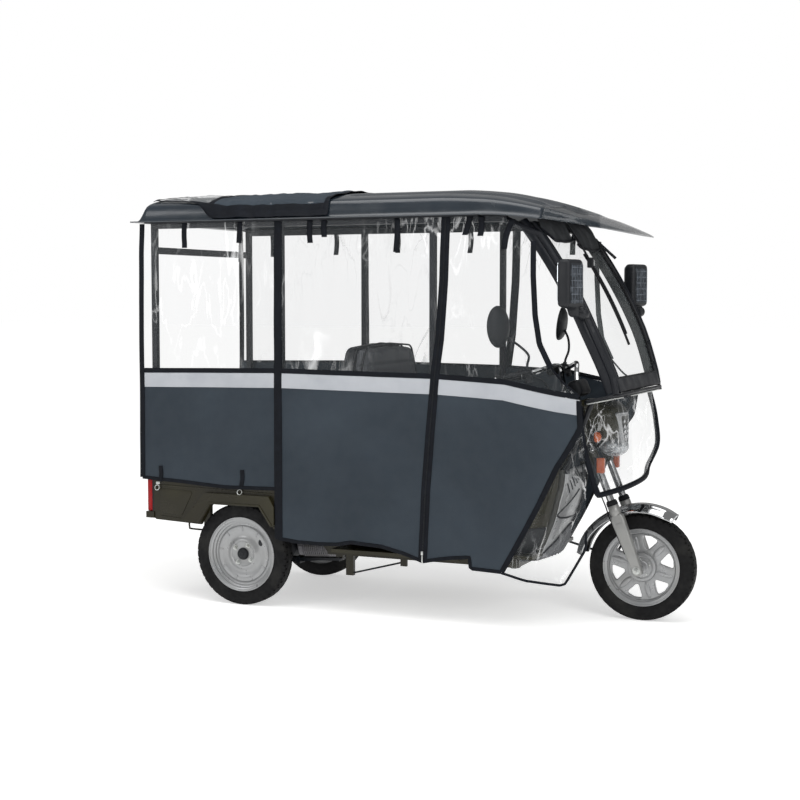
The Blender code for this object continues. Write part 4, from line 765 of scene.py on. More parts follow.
# ---------------------------------------------------------------- drop gate
# A folded steel panel with pressed ribs on its outer face. It hangs along its foot, and a latch with
# a flat handle near each end holds it shut.
gate_face = along(-0.440)
bm = bmesh.new()
for z in (0.548, 0.600, 0.652):
    box_between(
        bm, (gate_face - 0.0040, -0.33, z - 0.012), (gate_face + 0.001, 0.33, z + 0.012), 0.0018,
    )
put("gate_ribs", bm, olive_paint, GATE)
bm = bmesh.new()
for sign in (-1, 1):
    y = sign * 0.352
    box_between(bm, (gate_face - 0.006, y - 0.012, 0.630), (gate_face, y + 0.012, 0.680), 0.0015)
    add_stud(bm, Vector((gate_face - 0.006, y, 0.662)), -AHEAD, 0.006, 0.010, chamfer=0.001)
    box_between(
        bm, (gate_face - 0.016, y - 0.005, 0.612), (gate_face - 0.011, y + 0.005, 0.666), 0.0015,
    )
put("gate_latches", bm, zinc, GATE)

# ---------------------------------------------------------------- cabin frame
# Square steel posts and round front pillars under black gloss, with the roof's rails over them and
# bolted plates where the posts stand on the box.
finish_nodes(black_steel, "canopy_side_right", "canopy_side_left", "rear_cross_bar")
for side, sign in SIDES:
    bm = bmesh.new()
    for post in (-0.455, 0.205):
        x, y = along(post), sign * 0.432
        box_between(bm, (x - 0.030, y - 0.0125, 0.7005), (x + 0.030, y + 0.0125, 0.7055), 0.001)
        for bolt in (-0.021, 0.021):
            add_stud(bm, Vector((x + bolt, y, 0.7055)), UP, 0.0065, 0.005, 6, 0.0008)
    put(f"post_feet_{side}", bm, black_steel, BODY)

# ---------------------------------------------------------------- roof and visor
# Two vacuum-formed shells: a grey roof with a turned-down lip and four ribs over the nose, and a
# smoked visor that carries its line on to the front. Rivets hold both to the rails.
roof_plastic = new_finish(
    "roof_plastic", "#1f262d", 0.24, coat=0.25, worn=(9, 0.14, 0.28),
    stain=(2.5, 0.5, 0.8, 0.5, "#272f37"), relief=(22, 0.0012, 0.5),
)
visor_plastic = new_finish(
    "visor_plastic", "#2a3137", 0.16, coat=0.3, alpha=0.48, worn=(9, 0.08, 0.20),
    relief=(22, 0.0012, 0.5),
)
low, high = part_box("roof_shell")
ROOF_REAR = low.x - rear_axle.x
low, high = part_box("roof_visor")
ROOF_TIP, ROOF_SPLIT = high.x - rear_axle.x, 1.400
ROOF_EDGE, ROOF_LIP, ROOF_RISE = 0.475, 1.715, 0.125  # half its width, its lip's height and its crown's
NOSE, CROWN, NOSE_DROP = 1.150, 0.950, 0.086  # where it narrows, where it sinks, and its tip's drop
RIB_DEPTH = 0.010


def ease(t):
    """A soft step from 0 at 0 to 1 at 1."""
    t = min(1.0, max(0.0, t))
    return t * t * (3 - 2 * t)


def roof_edge(x):
    """Half the roof's width at x, and the height of its lip."""
    t = max(0.0, (x - NOSE) / (ROOF_TIP + 0.005 - NOSE))
    drop = NOSE_DROP * max(0.0, (x - NOSE) / (ROOF_TIP - NOSE)) ** 1.6
    return ROOF_EDGE * math.sqrt(max(0.0, 1 - t**2.4)), ROOF_LIP - drop


def roof_point(x, share, rise, lift=0.0):
    """The roof's point at x, at a share of its half width and of its crown's height."""
    half, lip = roof_edge(x)
    nose = 1 - max(0.0, (x - CROWN) / (ROOF_TIP - CROWN)) ** 1.5
    crown = ROOF_RISE * ease((x - ROOF_REAR - 0.017) / 0.055) * max(nose, 0.0)
    y = share * half
    field = ease((0.37 - abs(y)) / 0.05) * ease((x - 0.47) / 0.05) * ease((1.56 - x) / 0.10)
    rib = -RIB_DEPTH * field
    for middle, front in ((0.10, 1.535), (0.26, 1.400)):
        across = ease((0.027 - abs(abs(y) - middle)) / 0.012)
        rib += RIB_DEPTH * across * ease((front - x) / 0.06) * ease((x - 0.47) / 0.05)
    return Vector((along(x), y, lip + crown * rise + rib + lift))


ROOF_SECTION = [  # share of half the width, and of the crown's height
    tuple(point)
    for point in smooth_path(
        [
            (0.0, 1.0), (0.25, 0.98), (0.50, 0.90), (0.70, 0.79), (0.85, 0.66), (0.905, 0.58),
            (0.93, 0.48), (0.95, 0.15), (0.965, 0.02), (1.0, 0.0),
        ],
        5,
    )
]
ROOF_SECTION = [(-share, rise) for share, rise in reversed(ROOF_SECTION[1:])] + ROOF_SECTION


def surface(rows):
    """A sheet of quads through rows of points."""
    bm = bmesh.new()
    grid = [[bm.verts.new(point) for point in row] for row in rows]
    for near, far in zip(grid, grid[1:]):
        for a, b, c, d in zip(near, near[1:], far[1:], far):
            bm.faces.new((a, d, c, b))
    return bm


def thicken(made, thickness, offset=-1.0):
    """Gives a sheet a thickness, inwards or, with offset 0, half to each side."""
    solid = made.modifiers.new("wall", "SOLIDIFY")
    solid.thickness, solid.offset = thickness, offset
    return made


def stations(start, end, step):
    """Evenly spaced numbers from start up to end, about a step apart."""
    count = max(1, round((end - start) / step))
    return [start + (end - start) * i / count for i in range(count + 1)]


shell_stations = stations(ROOF_REAR, ROOF_REAR + 0.08, 0.008)[:-1]
shell_stations += stations(ROOF_REAR + 0.08, ROOF_SPLIT, 0.017)
rows = [[roof_point(x, *at) for at in ROOF_SECTION] for x in shell_stations]
roof = thicken(put("roof_panel", surface(rows), roof_plastic, BODY), 0.005)
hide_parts("roof_shell")
visor_stations = stations(ROOF_SPLIT + 0.0004, 1.70, 0.014)[:-1] + stations(1.70, ROOF_TIP, 0.005)
rows = [[roof_point(x, *at) for at in ROOF_SECTION] for x in visor_stations]
visor = thicken(put("visor_panel", surface(rows), visor_plastic, BODY), 0.003)
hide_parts("roof_visor")
bm = bmesh.new()
for sign in (-1, 1):
    for x in (-0.40, -0.10, 0.22, 0.55, 0.88, 1.12):
        half, lip = roof_edge(x)
        add_stud(
            bm, Vector((along(x), sign * (half - 0.008), lip - 0.001)), UP, 0.005, 0.003, 12, 0.001,
        )
put("roof_rivets", bm, black_plastic, BODY)

# ---------------------------------------------------------------- curtain materials
# Coated nylon cloth in blue grey, a pale reflective tape, black binding tape and soft clear film. All
# the rain curtains, their skirts and the apron in front are sewn from these.
curtain_fabric = new_finish(
    "curtain_fabric", "#2f363d", 0.72, shine=0.16, worn=(18, 0.68, 0.86),
    stain=(2.2, 0.42, 0.70, 0.6, "#3a424a"),
)
raise_by(curtain_fabric, grain(curtain_fabric, 7, (1, 1, 0.45), 2.0, 0.6), 0.010, 0.35)
bump_waves(curtain_fabric, 0.0012, 0.00015, "X")
bump_waves(curtain_fabric, 0.0012, 0.00015, "Z")
raise_by(curtain_fabric, grain(curtain_fabric, 260), 0.0005)
stripe_tape = new_finish(
    "stripe_tape", "#a6a9ae", 0.50, shine=0.3, stain=(10, 0.4, 0.75, 0.6, "#93979e"),
)
raise_by(stripe_tape, grain(stripe_tape, 30, (1, 1, 3)), 0.001)
bump_waves(stripe_tape, 0.0015, 0.0001, "X")
binding = new_finish(
    "binding_tape", "#0b0e14", 0.60, shine=0.12, stain=(30, 0.45, 0.75, 0.5, "#141820"),
)
raise_by(binding, grain(binding, 65, (1, 1, 0.6)), 0.0012)
bump_waves(binding, 0.0016, 0.0002, "Z")


def clear_sheet(name, seed, haze, stretch, white):
    """Soft clear film: almost nothing face on, with milky edges and thin creases whose highlights are
    painted in white.
    """
    made = new_finish(name, "#868b8e", 0.12, shine=0.4)
    tree = made.node_tree
    shader = tree.nodes["Principled BSDF"]
    creases = grain(made, 3.1 + seed, stretch, 3.0, 0.7)
    fine = grain(made, 13 + seed, stretch, 3.0, 0.6)
    raise_by(made, creases, 0.016, 0.8)
    raise_by(made, fine, 0.003, 0.7)
    haze_and_highlight = haze
    # The crease lines are painted highlights: along each crease the film turns white and less clear, as
    # strongly as white says.
    for texture, width, strength in ((creases, 0.014, white), (fine, 0.030, 0.5 * white)):
        ridge = tree.nodes.new("ShaderNodeMath")
        ridge.operation = "ABSOLUTE"
        tree.links.new(between(made, texture, 0.0, 1.0, -0.5, 0.5), ridge.inputs[0])
        line = between(made, ridge.outputs[0], 0.0, width, strength, 0.0)
        patch = between(made, grain(made, 1.7 + seed + 9 * width, (1, 1, 1), 1.0), 0.50, 0.66)
        joined = tree.nodes.new("ShaderNodeMath")
        joined.operation = "MULTIPLY_ADD"
        tree.links.new(line, joined.inputs[0])
        tree.links.new(patch, joined.inputs[1])
        if isinstance(haze_and_highlight, float):
            joined.inputs[2].default_value = haze_and_highlight
        else:
            tree.links.new(haze_and_highlight, joined.inputs[2])
        haze_and_highlight = joined.outputs[0]
    # Painted highlights: the film's colour goes white along the crease lines.
    tint(made, between(made, haze_and_highlight, haze, haze + 0.12), "#fbfcfd")
    facing = tree.nodes.new("ShaderNodeLayerWeight")
    facing.inputs["Blend"].default_value = 0.25
    edges = tree.nodes.new("ShaderNodeMath")
    edges.operation = "MULTIPLY_ADD"
    edges.inputs[1].default_value = 0.30
    tree.links.new(facing.outputs["Facing"], edges.inputs[0])
    tree.links.new(haze_and_highlight, edges.inputs[2])
    tree.links.new(edges.outputs[0], shader.inputs["Alpha"])
    return made


# The last value sets how strongly the painted crease highlights show.
window_film = clear_sheet("clear_film", 0.0, 0.068, (1, 1, 0.28), 0.45)
apron_film = clear_sheet("apron_film", 2.0, 0.056, (1, 1, 0.6), 0.38)

# ---------------------------------------------------------------- curtain thrown over the roof
# The rear curtain is thrown up over the roof's rear: its clear window lies behind, its cloth in
# front, all loosely creased and bound along the edges.


def rear_span(x):
    """How far out to the side the curtain reaches at x, as a share of the roof's half width."""
    return 0.80 + 0.16 * ease((x + 0.46) / 0.42)


def over_roof(x, share, lift=0.0):
    """A point of the thrown curtain, which lies on the roof in loose creases."""
    share *= rear_span(x)
    half = ROOF_SECTION[len(ROOF_SECTION) // 2 :]
    rise = next(
        a[1] + (b[1] - a[1]) * (abs(share) - a[0]) / (b[0] - a[0])
        for a, b in zip(half, half[1:])
        if abs(share) <= b[0]
    )
    crease = abs(noise.noise(Vector((x * 9.0, share * 1.6, 4.0))))
    crease += 0.6 * abs(noise.noise(Vector((x * 21.0 + share * 4, share * 5.0, 9.0))))
    point = roof_point(x, share, rise, 0.0025)
    out = Vector((0, 0.9 * share * ease((abs(share) - 0.6) / 0.3), 1.0)).normalized()
    return point + out * (0.011 * crease + lift)


def thrown(name, start, end, finish):
    """The part of the thrown curtain from start to end."""
    rows = [[over_roof(x, i / 36 - 1) for i in range(73)] for x in stations(start, end, 0.010)]
    return put(name, surface(rows), finish, BODY, 80)


def ribbon(bm, line, across, width, lift):
    """A tape along the points: across gives the direction of its width, and lift that off the cloth."""
    profile = ((-0.5, 0.15), (-0.46, 0.8), (-0.25, 1.0), (0.25, 1.0), (0.46, 0.8), (0.5, 0.15))
    rows = [
        [bm.verts.new(at(share * width, lift * rise)) for share, rise in profile]
        for at in (across(i) for i in range(len(line)))
    ]
    for near, far in zip(rows, rows[1:]):
        for a, b, c, d in zip(near, near[1:], far[1:], far):
            bm.faces.new((a, d, c, b))


def roof_tape(bm, along_line, width):
    """A tape on the thrown curtain along (x, share) points."""

    def across(i):
        here = Vector(along_line[i])
        run = Vector(along_line[min(i + 1, len(along_line) - 1)]) - Vector(along_line[max(i - 1, 0)])
        run = Vector((run.x, run.y * ROOF_EDGE)).normalized()

        def at(side, lift):
            x = here.x - run.y * side
            share = here.y + run.x * side / ROOF_EDGE
            return over_roof(x, max(-1.015, min(1.015, share)), lift)

        return at

    ribbon(bm, along_line, across, width, 0.0022)


FILM_START, FILM_END, CLOTH_END = -0.462, -0.130, 0.452
rear_cloth = thrown("rear_curtain_cloth", FILM_END, CLOTH_END, curtain_fabric)
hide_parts("rear_curtain")
rear_film = thrown("rear_curtain_window", FILM_START, FILM_END + 0.002, window_film)
bm = bmesh.new()
for share in (-0.995, 0.995):
    roof_tape(bm, [(x, share) for x in stations(FILM_START, CLOTH_END, 0.012)], 0.022)
for x, width in ((FILM_START + 0.010, 0.020), (FILM_END, 0.030), (CLOTH_END - 0.008, 0.024)):
    roof_tape(bm, [(x, share) for share in stations(-1.0, 1.0, 0.03)], width)
rear_tape = put("rear_curtain_binding", bm, binding, BODY, 80)

# ---------------------------------------------------------------- side curtains
# Each side has three panels, closed by a strip behind and a zip in front. A panel is nylon cloth below
# and a clear film window above, sewn together under binding tape, with a pale tape along the cloth's
# top. It hangs from the roof's rail in soft upright folds.
CURTAIN_FACE = 0.4453
CURTAIN_TOP = 1.7042
STRIP_X = 0.209
STRIP_LINE = ((STRIP_X, 0.316), (STRIP_X, CURTAIN_TOP))
ZIP_FOOT, ZIP_AT_CLOTH, ZIP_TOP = (0.893, 0.264), (0.946, 1.046), (0.992, CURTAIN_TOP)
ZIP_LINE = (ZIP_FOOT, (0.905, 0.560), ZIP_AT_CLOTH, (0.968, 1.200), (0.985, 1.445), ZIP_TOP)
REAR_CORNER, STRIP_AT_CLOTH, STRIP_TOP = (-0.487, 1.045), (STRIP_X, 1.056), (STRIP_X, CURTAIN_TOP)
CLOTH_TOP = (
    REAR_CORNER, STRIP_AT_CLOTH, ZIP_AT_CLOTH, (1.100, 1.038), (1.250, 1.030), (1.380, 1.004),
    (1.470, 0.988), (1.569, 0.975),
)
WINDOW_FRONT = (
    (1.573, 0.978), (1.500, 1.034), (1.450, 1.090), (1.403, 1.186), (1.385, 1.300), (1.376, 1.460),
    (1.375, 1.600), (1.320, 1.655), (1.232, CURTAIN_TOP),
)


def fold(x, z):
    """How far a curtain stands out from its posts at (x, z)."""
    hang = ease((CURTAIN_TOP - z) / 0.16)
    sway = noise.noise(Vector((x * 3.4, z * 0.8, 3.0))) + 0.5
    upright = noise.noise(Vector((x * 13.0, z * 1.5, 8.0))) + 0.5
    slack = noise.noise(Vector((x * 5.5 + z * 2.2, z * 4.5, 5.0))) + 0.5
    return 0.0012 + hang * max(0.0, 0.0085 * sway + 0.0035 * upright + 0.0030 * slack)


def hung(x, z, sign, lift=0.0):
    """A curtain's point. Its front corner is drawn in towards the leg shield."""
    drawn = 0.085 * ease((x - 1.30) / 0.30) * ease((0.98 - z) / 0.25)
    return Vector((along(x), sign * (CURTAIN_FACE + fold(x, z) + lift - drawn), z))


def even(line, count):
    """count + 1 points evenly along the line."""
    points = [Vector(p) for p in line]
    marks = [0.0]
    for a, b in zip(points, points[1:]):
        marks.append(marks[-1] + (b - a).length)
    made, span = [], 0
    for i in range(count + 1):
        mark = marks[-1] * i / count
        while span < len(points) - 2 and marks[span + 1] < mark:
            span += 1
        share = (mark - marks[span]) / max(1e-9, marks[span + 1] - marks[span])
        made.append(points[span].lerp(points[span + 1], min(1.0, share)))
    return made


def coons(foot, front, top, rear, columns, rows):
    """Rows of (x, z) points that fill four edges. foot and top run to the front, the others up."""
    foot, top = even(foot, columns), even(top, columns)
    rear, front = even(rear, rows), even(front, rows)
    grid = []
    for j in range(rows + 1):
        v = j / rows
        row = []
        for i in range(columns + 1):
            u = i / columns
            ruled = foot[i].lerp(top[i], v) + rear[j].lerp(front[j], u)
            corners = foot[0].lerp(foot[-1], u).lerp(top[0].lerp(top[-1], u), v)
            row.append(ruled - corners)
        grid.append(row)
    return grid


def hang(name, grid, sign, finish):
    """A panel hung at its side from a flat grid of points, whose order there turns its faces out."""
    rows = [[hung(p.x, p.y, sign) for p in row[::-sign]] for row in grid]
    return put(name, surface(rows), finish, BODY, 80)


def curtain_tape(bm, line, width, sign, lift):
    """A tape on a hung curtain along (x, z) points."""
    length = sum((Vector(b) - Vector(a)).length for a, b in zip(line, line[1:]))
    line = even(line, max(2, round(length / 0.014)))

    def across(i):
        here = line[i]
        run = (line[min(i + 1, len(line) - 1)] - line[max(i - 1, 0)]).normalized()
        return lambda side, rise: hung(
            here.x - run.y * side, here.y + run.x * side, sign, 0.0006 + rise,
        )

    ribbon(bm, line, across, width, lift)


def taped(name, finish, sign, *tapes):
    """One piece of tapes on a side's curtains, each given by its line, width and lift."""
    bm = bmesh.new()
    for line, width, lift in tapes:
        curtain_tape(bm, line, width, sign, lift)
    return put(name, bm, finish, BODY, 80)


def line_between(line, start, end):
    """The part of a line, given by its x, that lies from start to end."""

    def height(x):
        """The line's height at x."""
        a, b = next((a, b) for a, b in zip(line, line[1:]) if x <= b[0] + 1e-9)
        return a[1] + (b[1] - a[1]) * (x - a[0]) / (b[0] - a[0])

    inner = [p for p in line if start < p[0] < end]
    return [(start, height(start)), *inner, (end, height(end))]


def lowered(line, depth):
    """The line that much lower."""
    return [(x, z - depth) for x, z in line]


PANELS = {
    "rear": {
        "foot": [(-0.493, 0.556), (-0.28, 0.545), (-0.06, 0.532), (STRIP_X, 0.537)],
        "rear": [(-0.493, 0.556), (-0.488, 0.80), REAR_CORNER],
        "front": [(STRIP_X, 0.537), STRIP_AT_CLOTH],
        "top": line_between(CLOTH_TOP, REAR_CORNER[0], STRIP_X),
        "window_rear": [REAR_CORNER, (-0.484, CURTAIN_TOP)],
        "window_front": [STRIP_AT_CLOTH, STRIP_TOP],
    },
    "middle": {
        "foot": [
            (STRIP_X, 0.318), (0.303, 0.308), (0.400, 0.306), (0.493, 0.310), (0.560, 0.324),
            (0.706, 0.315), (0.800, 0.294), ZIP_FOOT,
        ],
        "rear": [(STRIP_X, 0.318), STRIP_AT_CLOTH], "front": [ZIP_FOOT, ZIP_AT_CLOTH],
        "top": line_between(CLOTH_TOP, STRIP_X, ZIP_AT_CLOTH[0]),
        "window_rear": [STRIP_AT_CLOTH, STRIP_TOP], "window_front": [ZIP_AT_CLOTH, ZIP_TOP],
    },
    "front": {
        "foot": [
            ZIP_FOOT, (0.940, 0.274), (1.015, 0.287), (1.104, 0.297), (1.109, 0.250), (1.245, 0.244),
        ],
        "rear": [ZIP_FOOT, ZIP_AT_CLOTH],
        "front": [
            (1.245, 0.244), (1.340, 0.416), (1.396, 0.528), (1.463, 0.681), (1.524, 0.785),
            (1.562, 0.845), (1.569, 0.960),
        ],
        "top": line_between(CLOTH_TOP, ZIP_AT_CLOTH[0], 1.569), "window_rear": [ZIP_AT_CLOTH, ZIP_TOP],
        "window_front": WINDOW_FRONT,
    },
}
SKIRT_FOOT = ((1.245, 0.240), (1.350, 0.214), (1.490, 0.196), (1.500, 0.206))
SKIRT_FRONT = ((1.500, 0.206), (1.580, 0.352), (1.576, 0.640), (1.568, 0.790), (1.569, 0.960))
STRAPS = {  # from the roof's edge down to each strap's end, as (x, z)
    "right": (
        ((-0.261, 1.709), (-0.262, 1.650), (-0.257, 1.594)),
        ((0.023, 1.708), (0.025, 1.660), (0.021, 1.612)),
        ((0.365, 1.705), (0.363, 1.655), (0.368, 1.607)),
        ((0.433, 1.705), (0.431, 1.668), (0.436, 1.631)),
        ((0.776, 1.704), (0.779, 1.640), (0.772, 1.563)),
        ((1.100, 1.706), (1.090, 1.668), (1.078, 1.629)),
        ((1.148, 1.705), (1.150, 1.665), (1.146, 1.624)),
        ((1.283, 1.690), (1.262, 1.630), (1.254, 1.569)),
    ),
    "left": (
        ((-0.490, 1.700), (-0.486, 1.640), (-0.490, 1.554)),
        ((-0.302, 1.706), (-0.300, 1.640), (-0.304, 1.577)),
        ((0.050, 1.706), (0.052, 1.645), (0.048, 1.583)),
        ((0.383, 1.705), (0.386, 1.645), (0.381, 1.589)),
        ((0.757, 1.704), (0.759, 1.645), (0.753, 1.584)),
        ((1.100, 1.706), (1.092, 1.665), (1.090, 1.629)),
        ((1.280, 1.690), (1.262, 1.630), (1.256, 1.570)),
    ),
}
STRIPE_DEPTH = 0.064
for side, sign in SIDES:
    for panel, edges in PANELS.items():
        width = edges["top"][-1][0] - edges["top"][0][0]
        columns = round(width / 0.014)
        cloth_grid = coons(edges["foot"], edges["front"], edges["top"], edges["rear"], columns, 44)
        cloth = hang(f"{panel}_curtain_cloth_{side}", cloth_grid, sign, curtain_fabric)
        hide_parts(f"curtain_{panel}_{side}")
        window_top = [edges["window_rear"][-1], edges["window_front"][-1]]
        window_foot = edges["top"]
        if panel == "front":
            window_foot = [*edges["top"][:-1], WINDOW_FRONT[0]]
        window_grid = coons(
            window_foot, edges["window_front"], window_top, edges["window_rear"], columns, 40,
        )
        window = hang(f"{panel}_curtain_window_{side}", window_grid, sign, window_film)
        stripe_line = lowered(edges["top"], 0.012 + STRIPE_DEPTH / 2)
        stripe = taped(
            f"{panel}_curtain_stripe_{side}", stripe_tape, sign, (stripe_line, STRIPE_DEPTH, 0.0010),
        )
        tapes = [(edges["top"], 0.020, 0.0022), (edges["foot"], 0.016, 0.0022)]
        if panel == "rear":
            tapes.append(([*edges["rear"], *edges["window_rear"][1:]], 0.026, 0.004))
        if panel == "front":
            tapes += [(edges["front"], 0.022, 0.003), (WINDOW_FRONT[2:7], 0.024, 0.003)]
            tapes.append((WINDOW_FRONT[:3], 0.008, 0.003))
        tape = taped(f"{panel}_curtain_binding_{side}", binding, sign, *tapes)
        flat = (width, 1.045 - min(z for _, z in edges["foot"]))
        height = CURTAIN_TOP - min(z for _, z in window_foot)
        flat = (max(p[0] for p in window_foot) - window_foot[0][0], height)
    # The clear skirt that closes the front corner, with a stiff black cord in its hem.
    rows = []
    rear_edge = even(PANELS["front"]["front"], 48)
    front_edge = even([*SKIRT_FOOT[:-1], *SKIRT_FRONT], 48)
    for back, ahead in zip(rear_edge, front_edge):
        rows.append([back.lerp(ahead, i / 20) for i in range(21)])
    skirt = hang(f"corner_skirt_{side}", rows, sign, apron_film)
    hem = [hung(p.x, p.y, sign, 0.001) for p in front_edge if p.y < 0.42]
    cord = put(f"corner_skirt_hem_{side}", tube(hem, 0.0055, smooth=False), binding, BODY)

    # The strip over the rear seam, and the zip's flap with its coil over the front one.
    taped(f"seam_strip_{side}", binding, sign, (STRIP_LINE, 0.038, 0.0035))
    taped(f"zip_flap_{side}", binding, sign, (ZIP_LINE, 0.040, 0.0038))
    bm = bmesh.new()
    run = even(ZIP_LINE, 420)
    for i, p in enumerate(run):
        lean = 0.0016 if i % 2 else -0.0016
        add_cube(bm, hung(p.x + lean, p.y, sign, 0.0052), (0.0042, 0.0014, 0.0017))
    put(f"zip_teeth_{side}", bm, black_plastic, BODY)
    bm = bmesh.new()
    foot = hung(ZIP_LINE[0][0], 0.300, sign, 0.007)
    box_between(bm, foot - Vector((0.005, 0.003, 0.008)), foot + Vector((0.005, 0.003, 0.008)), 0.0015)
    box_between(bm, foot - Vector((0.003, 0.001, 0.040)), foot + Vector((0.003, 0.001, -0.009)), 0.0008)
    put(f"zip_slider_{side}", bm, zinc, BODY)
    bm = bmesh.new()
    for line in STRAPS[side]:
        line = smooth_path(line)
        rows = []
        for i, p in enumerate(line):
            t = i / (len(line) - 1)
            swing = 0.0045 + 0.007 * math.sin(2.6 * t + line[0].x * 9)
            across = (-0.0125, -0.004, 0.004, 0.0125)
            rows.append([hung(p.x + out, p.y, sign, max(0.003, swing)) for out in across])
        add_bm(bm, surface(rows))
    thicken(put(f"roof_straps_{side}", bm, binding, BODY, 60), 0.0022, 0.0)
    # Straps through the rings on the box hold the hem down.
    lines = [((x - 0.002, 0.612), (x + 0.001, 0.575), (x - 0.006, 0.541)) for x in (-0.393, 0.030)]
    taped(f"hem_straps_{side}", binding, sign, *((line, 0.020, 0.005) for line in lines))

# ---------------------------------------------------------------- seat
# A foam cushion and a backrest under grey synthetic leather with black piping, and a black shell
# behind the backrest. The foam pushes the leather out between the seams, which hold it down.
seat_leather = new_finish(
    "seat_leather", "#484a4e", 0.58, shine=0.35, worn=(25, 0.48, 0.66),
    stain=(5, 0.45, 0.75, 0.5, "#4b4d52"),
)
dark_leather = new_finish("dark_leather", "#191b1f", 0.50, shine=0.35, worn=(25, 0.46, 0.64))
for leather in (seat_leather, dark_leather):
    raise_by(leather, grain(leather, 210, detail=4.0), 0.0006)


def stuffed(name, outline, thickness, place, pressure, cap):
    """A foam piece under a sewn cover, whose cloth is blown out from inside, up to the cap."""
    bm = plate([outline], thickness, 0.016, 3)
    bm.transform(place)
    made = put(name, bm, seat_leather, BODY, 60)
    remesh = made.modifiers.new("even_faces", "REMESH")
    remesh.mode = "VOXEL"
    remesh.voxel_size = 0.0065
    remesh.use_smooth_shade = True
    take_result(made)
    start = [vert.co.copy() for vert in made.data.vertices]
    frames = 20
    cover = made.modifiers.new("cover", "CLOTH")
    cover.settings.use_pressure = True
    cover.settings.uniform_pressure_force = pressure
    cover.settings.effector_weights.gravity = 0
    cover.settings.tension_stiffness = cover.settings.compression_stiffness = 18
    cover.settings.shrink_min = -0.04
    cover.settings.quality = 4
    cover.point_cache.frame_start, cover.point_cache.frame_end = 1, frames
    for moment in range(1, frames + 1):
        scene.frame_set(moment)
    take_result(made)
    scene.frame_set(1)
    for vert, at in zip(made.data.vertices, start):
        move = vert.co - at
        vert.co = at + move.normalized() * min(move.length, cap) if move.length else at
    return made


def take_result(made):
    """Keeps what the modifiers make of the piece, and drops them."""
    graph = bpy.context.evaluated_depsgraph_get()
    mesh = bpy.data.meshes.new_from_object(made.evaluated_get(graph))
    made.modifiers.clear()
    spare, made.data = made.data, mesh
    bpy.data.meshes.remove(spare)
    made.data.materials.clear()
    made.data.materials.append(seat_leather)
    made.data.shade_smooth()


def press_seams(made, shown, *lines):
    """Draws the cover in along seams on its shown side. Each line tells how far a point is from one."""
    depth = width = 0.006
    for vert in made.data.vertices:
        if shown(vert.co):
            pull = max(math.exp(-((line(vert.co) / width) ** 2)) for line in lines)
            vert.co -= vert.normal * depth * pull


def piped(name, rings):
    """Piping sewn round a cover."""
    bm = bmesh.new()
    for ring in rings:
        add_bm(bm, tube([*ring, ring[0]], 0.0042, smooth=False))
    put(name, bm, dark_leather, BODY)


low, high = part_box("seat_backrest")
back_middle, back_height = (low + high) / 2, high.z - low.z
outline = rounded(
    [
        (-0.315, -back_height / 2 + 0.012), (0.315, -back_height / 2 + 0.012), (0.316, 0.040),
        (0.250, back_height / 2 - 0.026), (0.0, back_height / 2 - 0.012),
        (-0.250, back_height / 2 - 0.026), (-0.316, 0.040),
    ],
    0.06, 8,
)
FACING = Matrix(((0, 0, 1, 0), (1, 0, 0, 0), (0, 1, 0, 0), (0, 0, 0, 1)))  # faces a flat plate ahead
place = Matrix.Translation(back_middle) @ FACING
backrest = stuffed("backrest_cover", outline, high.x - low.x - 0.020, place, 3.0, 0.012)
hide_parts("seat_backrest")
press_seams(
    backrest, lambda p: p.x >= back_middle.x, lambda p: p.z - (back_middle.z + 0.105),
    lambda p: abs(p.y) - 0.205,
)
PIPED = 1.012  # how far the piping stands out round an outline
rings = [
    [Vector((back_middle.x + x, y * PIPED, back_middle.z + z * PIPED)) for y, z in outline]
    for x in (-0.022, 0.022)
]
piped("backrest_piping", rings)
shell = rounded([(y * 1.03, z * 1.01) for y, z in outline[::3]], 0.02)
bm = plate([shell], 0.050, 0.012)
bm.transform(Matrix.Translation((back_middle.x - 0.050, 0, back_middle.z)) @ FACING)
put("backrest_shell", bm, dark_leather, BODY, 50)
low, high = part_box("seat_cushion")
seat_middle = (low + high) / 2
length, width = high.x - low.x, high.y - low.y
outline = rounded(
    [
        (-length / 2 + 0.012, -width / 2 + 0.012), (length / 2 - 0.050, -width / 2 + 0.030),
        (length / 2 - 0.012, -width / 2 + 0.120), (length / 2 - 0.012, width / 2 - 0.120),
        (length / 2 - 0.050, width / 2 - 0.030), (-length / 2 + 0.012, width / 2 - 0.012),
    ],
    0.06, 8,
)
place = Matrix.Translation(seat_middle + Vector((0, 0, -0.004)))
cushion = stuffed("seat_cover", outline, high.z - low.z - 0.018, place, 3.0, 0.014)
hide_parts("seat_cushion")
press_seams(
    cushion, lambda p: p.z >= seat_middle.z, lambda p: abs(p.y) - 0.215,
    lambda p: p.x - (seat_middle.x - 0.015),
)
rings = [
    [Vector((seat_middle.x + x * PIPED, y * PIPED, seat_middle.z + z)) for x, y in outline]
    for z in (-0.038, 0.030)
]
piped("cushion_piping", rings)

# ---------------------------------------------------------------- windscreen
# A curved sheet of pale tinted glass in a black frame with a rubber seal, and a single wiper that hangs
# from the top. Two short dark flaps of cloth, edged with piping, close the gap under the visor.
screen_glass = new_finish(
    "screen_glass", "#9aa1a2", 0.04, alpha=0.11, stain=(1.5, 0.4, 0.7, 0.6, "#b3b9ba"),
    relief=(3, 0.0008, 0.3),
)
flap_cloth = new_finish(
    "flap_cloth", "#2f3133", 0.78, shine=0.15, stain=(14, 0.45, 0.75, 0.6, "#4a4c4e"),
    relief=(9, 0.008, 0.5),
)
SCREEN_TOP, SCREEN_FOOT = Vector((1.345, 1.680)), Vector((1.700, 0.988))
SCREEN_RUN = SCREEN_FOOT - SCREEN_TOP
SCREEN_OUT = Vector((-SCREEN_RUN.y, SCREEN_RUN.x)).normalized()
SCREEN_BAND, FOOT_BAND = 0.032, 0.058
SCREEN_BOW, SCREEN_HALF, SCREEN_NARROWING = 0.036, 0.385, 0.055


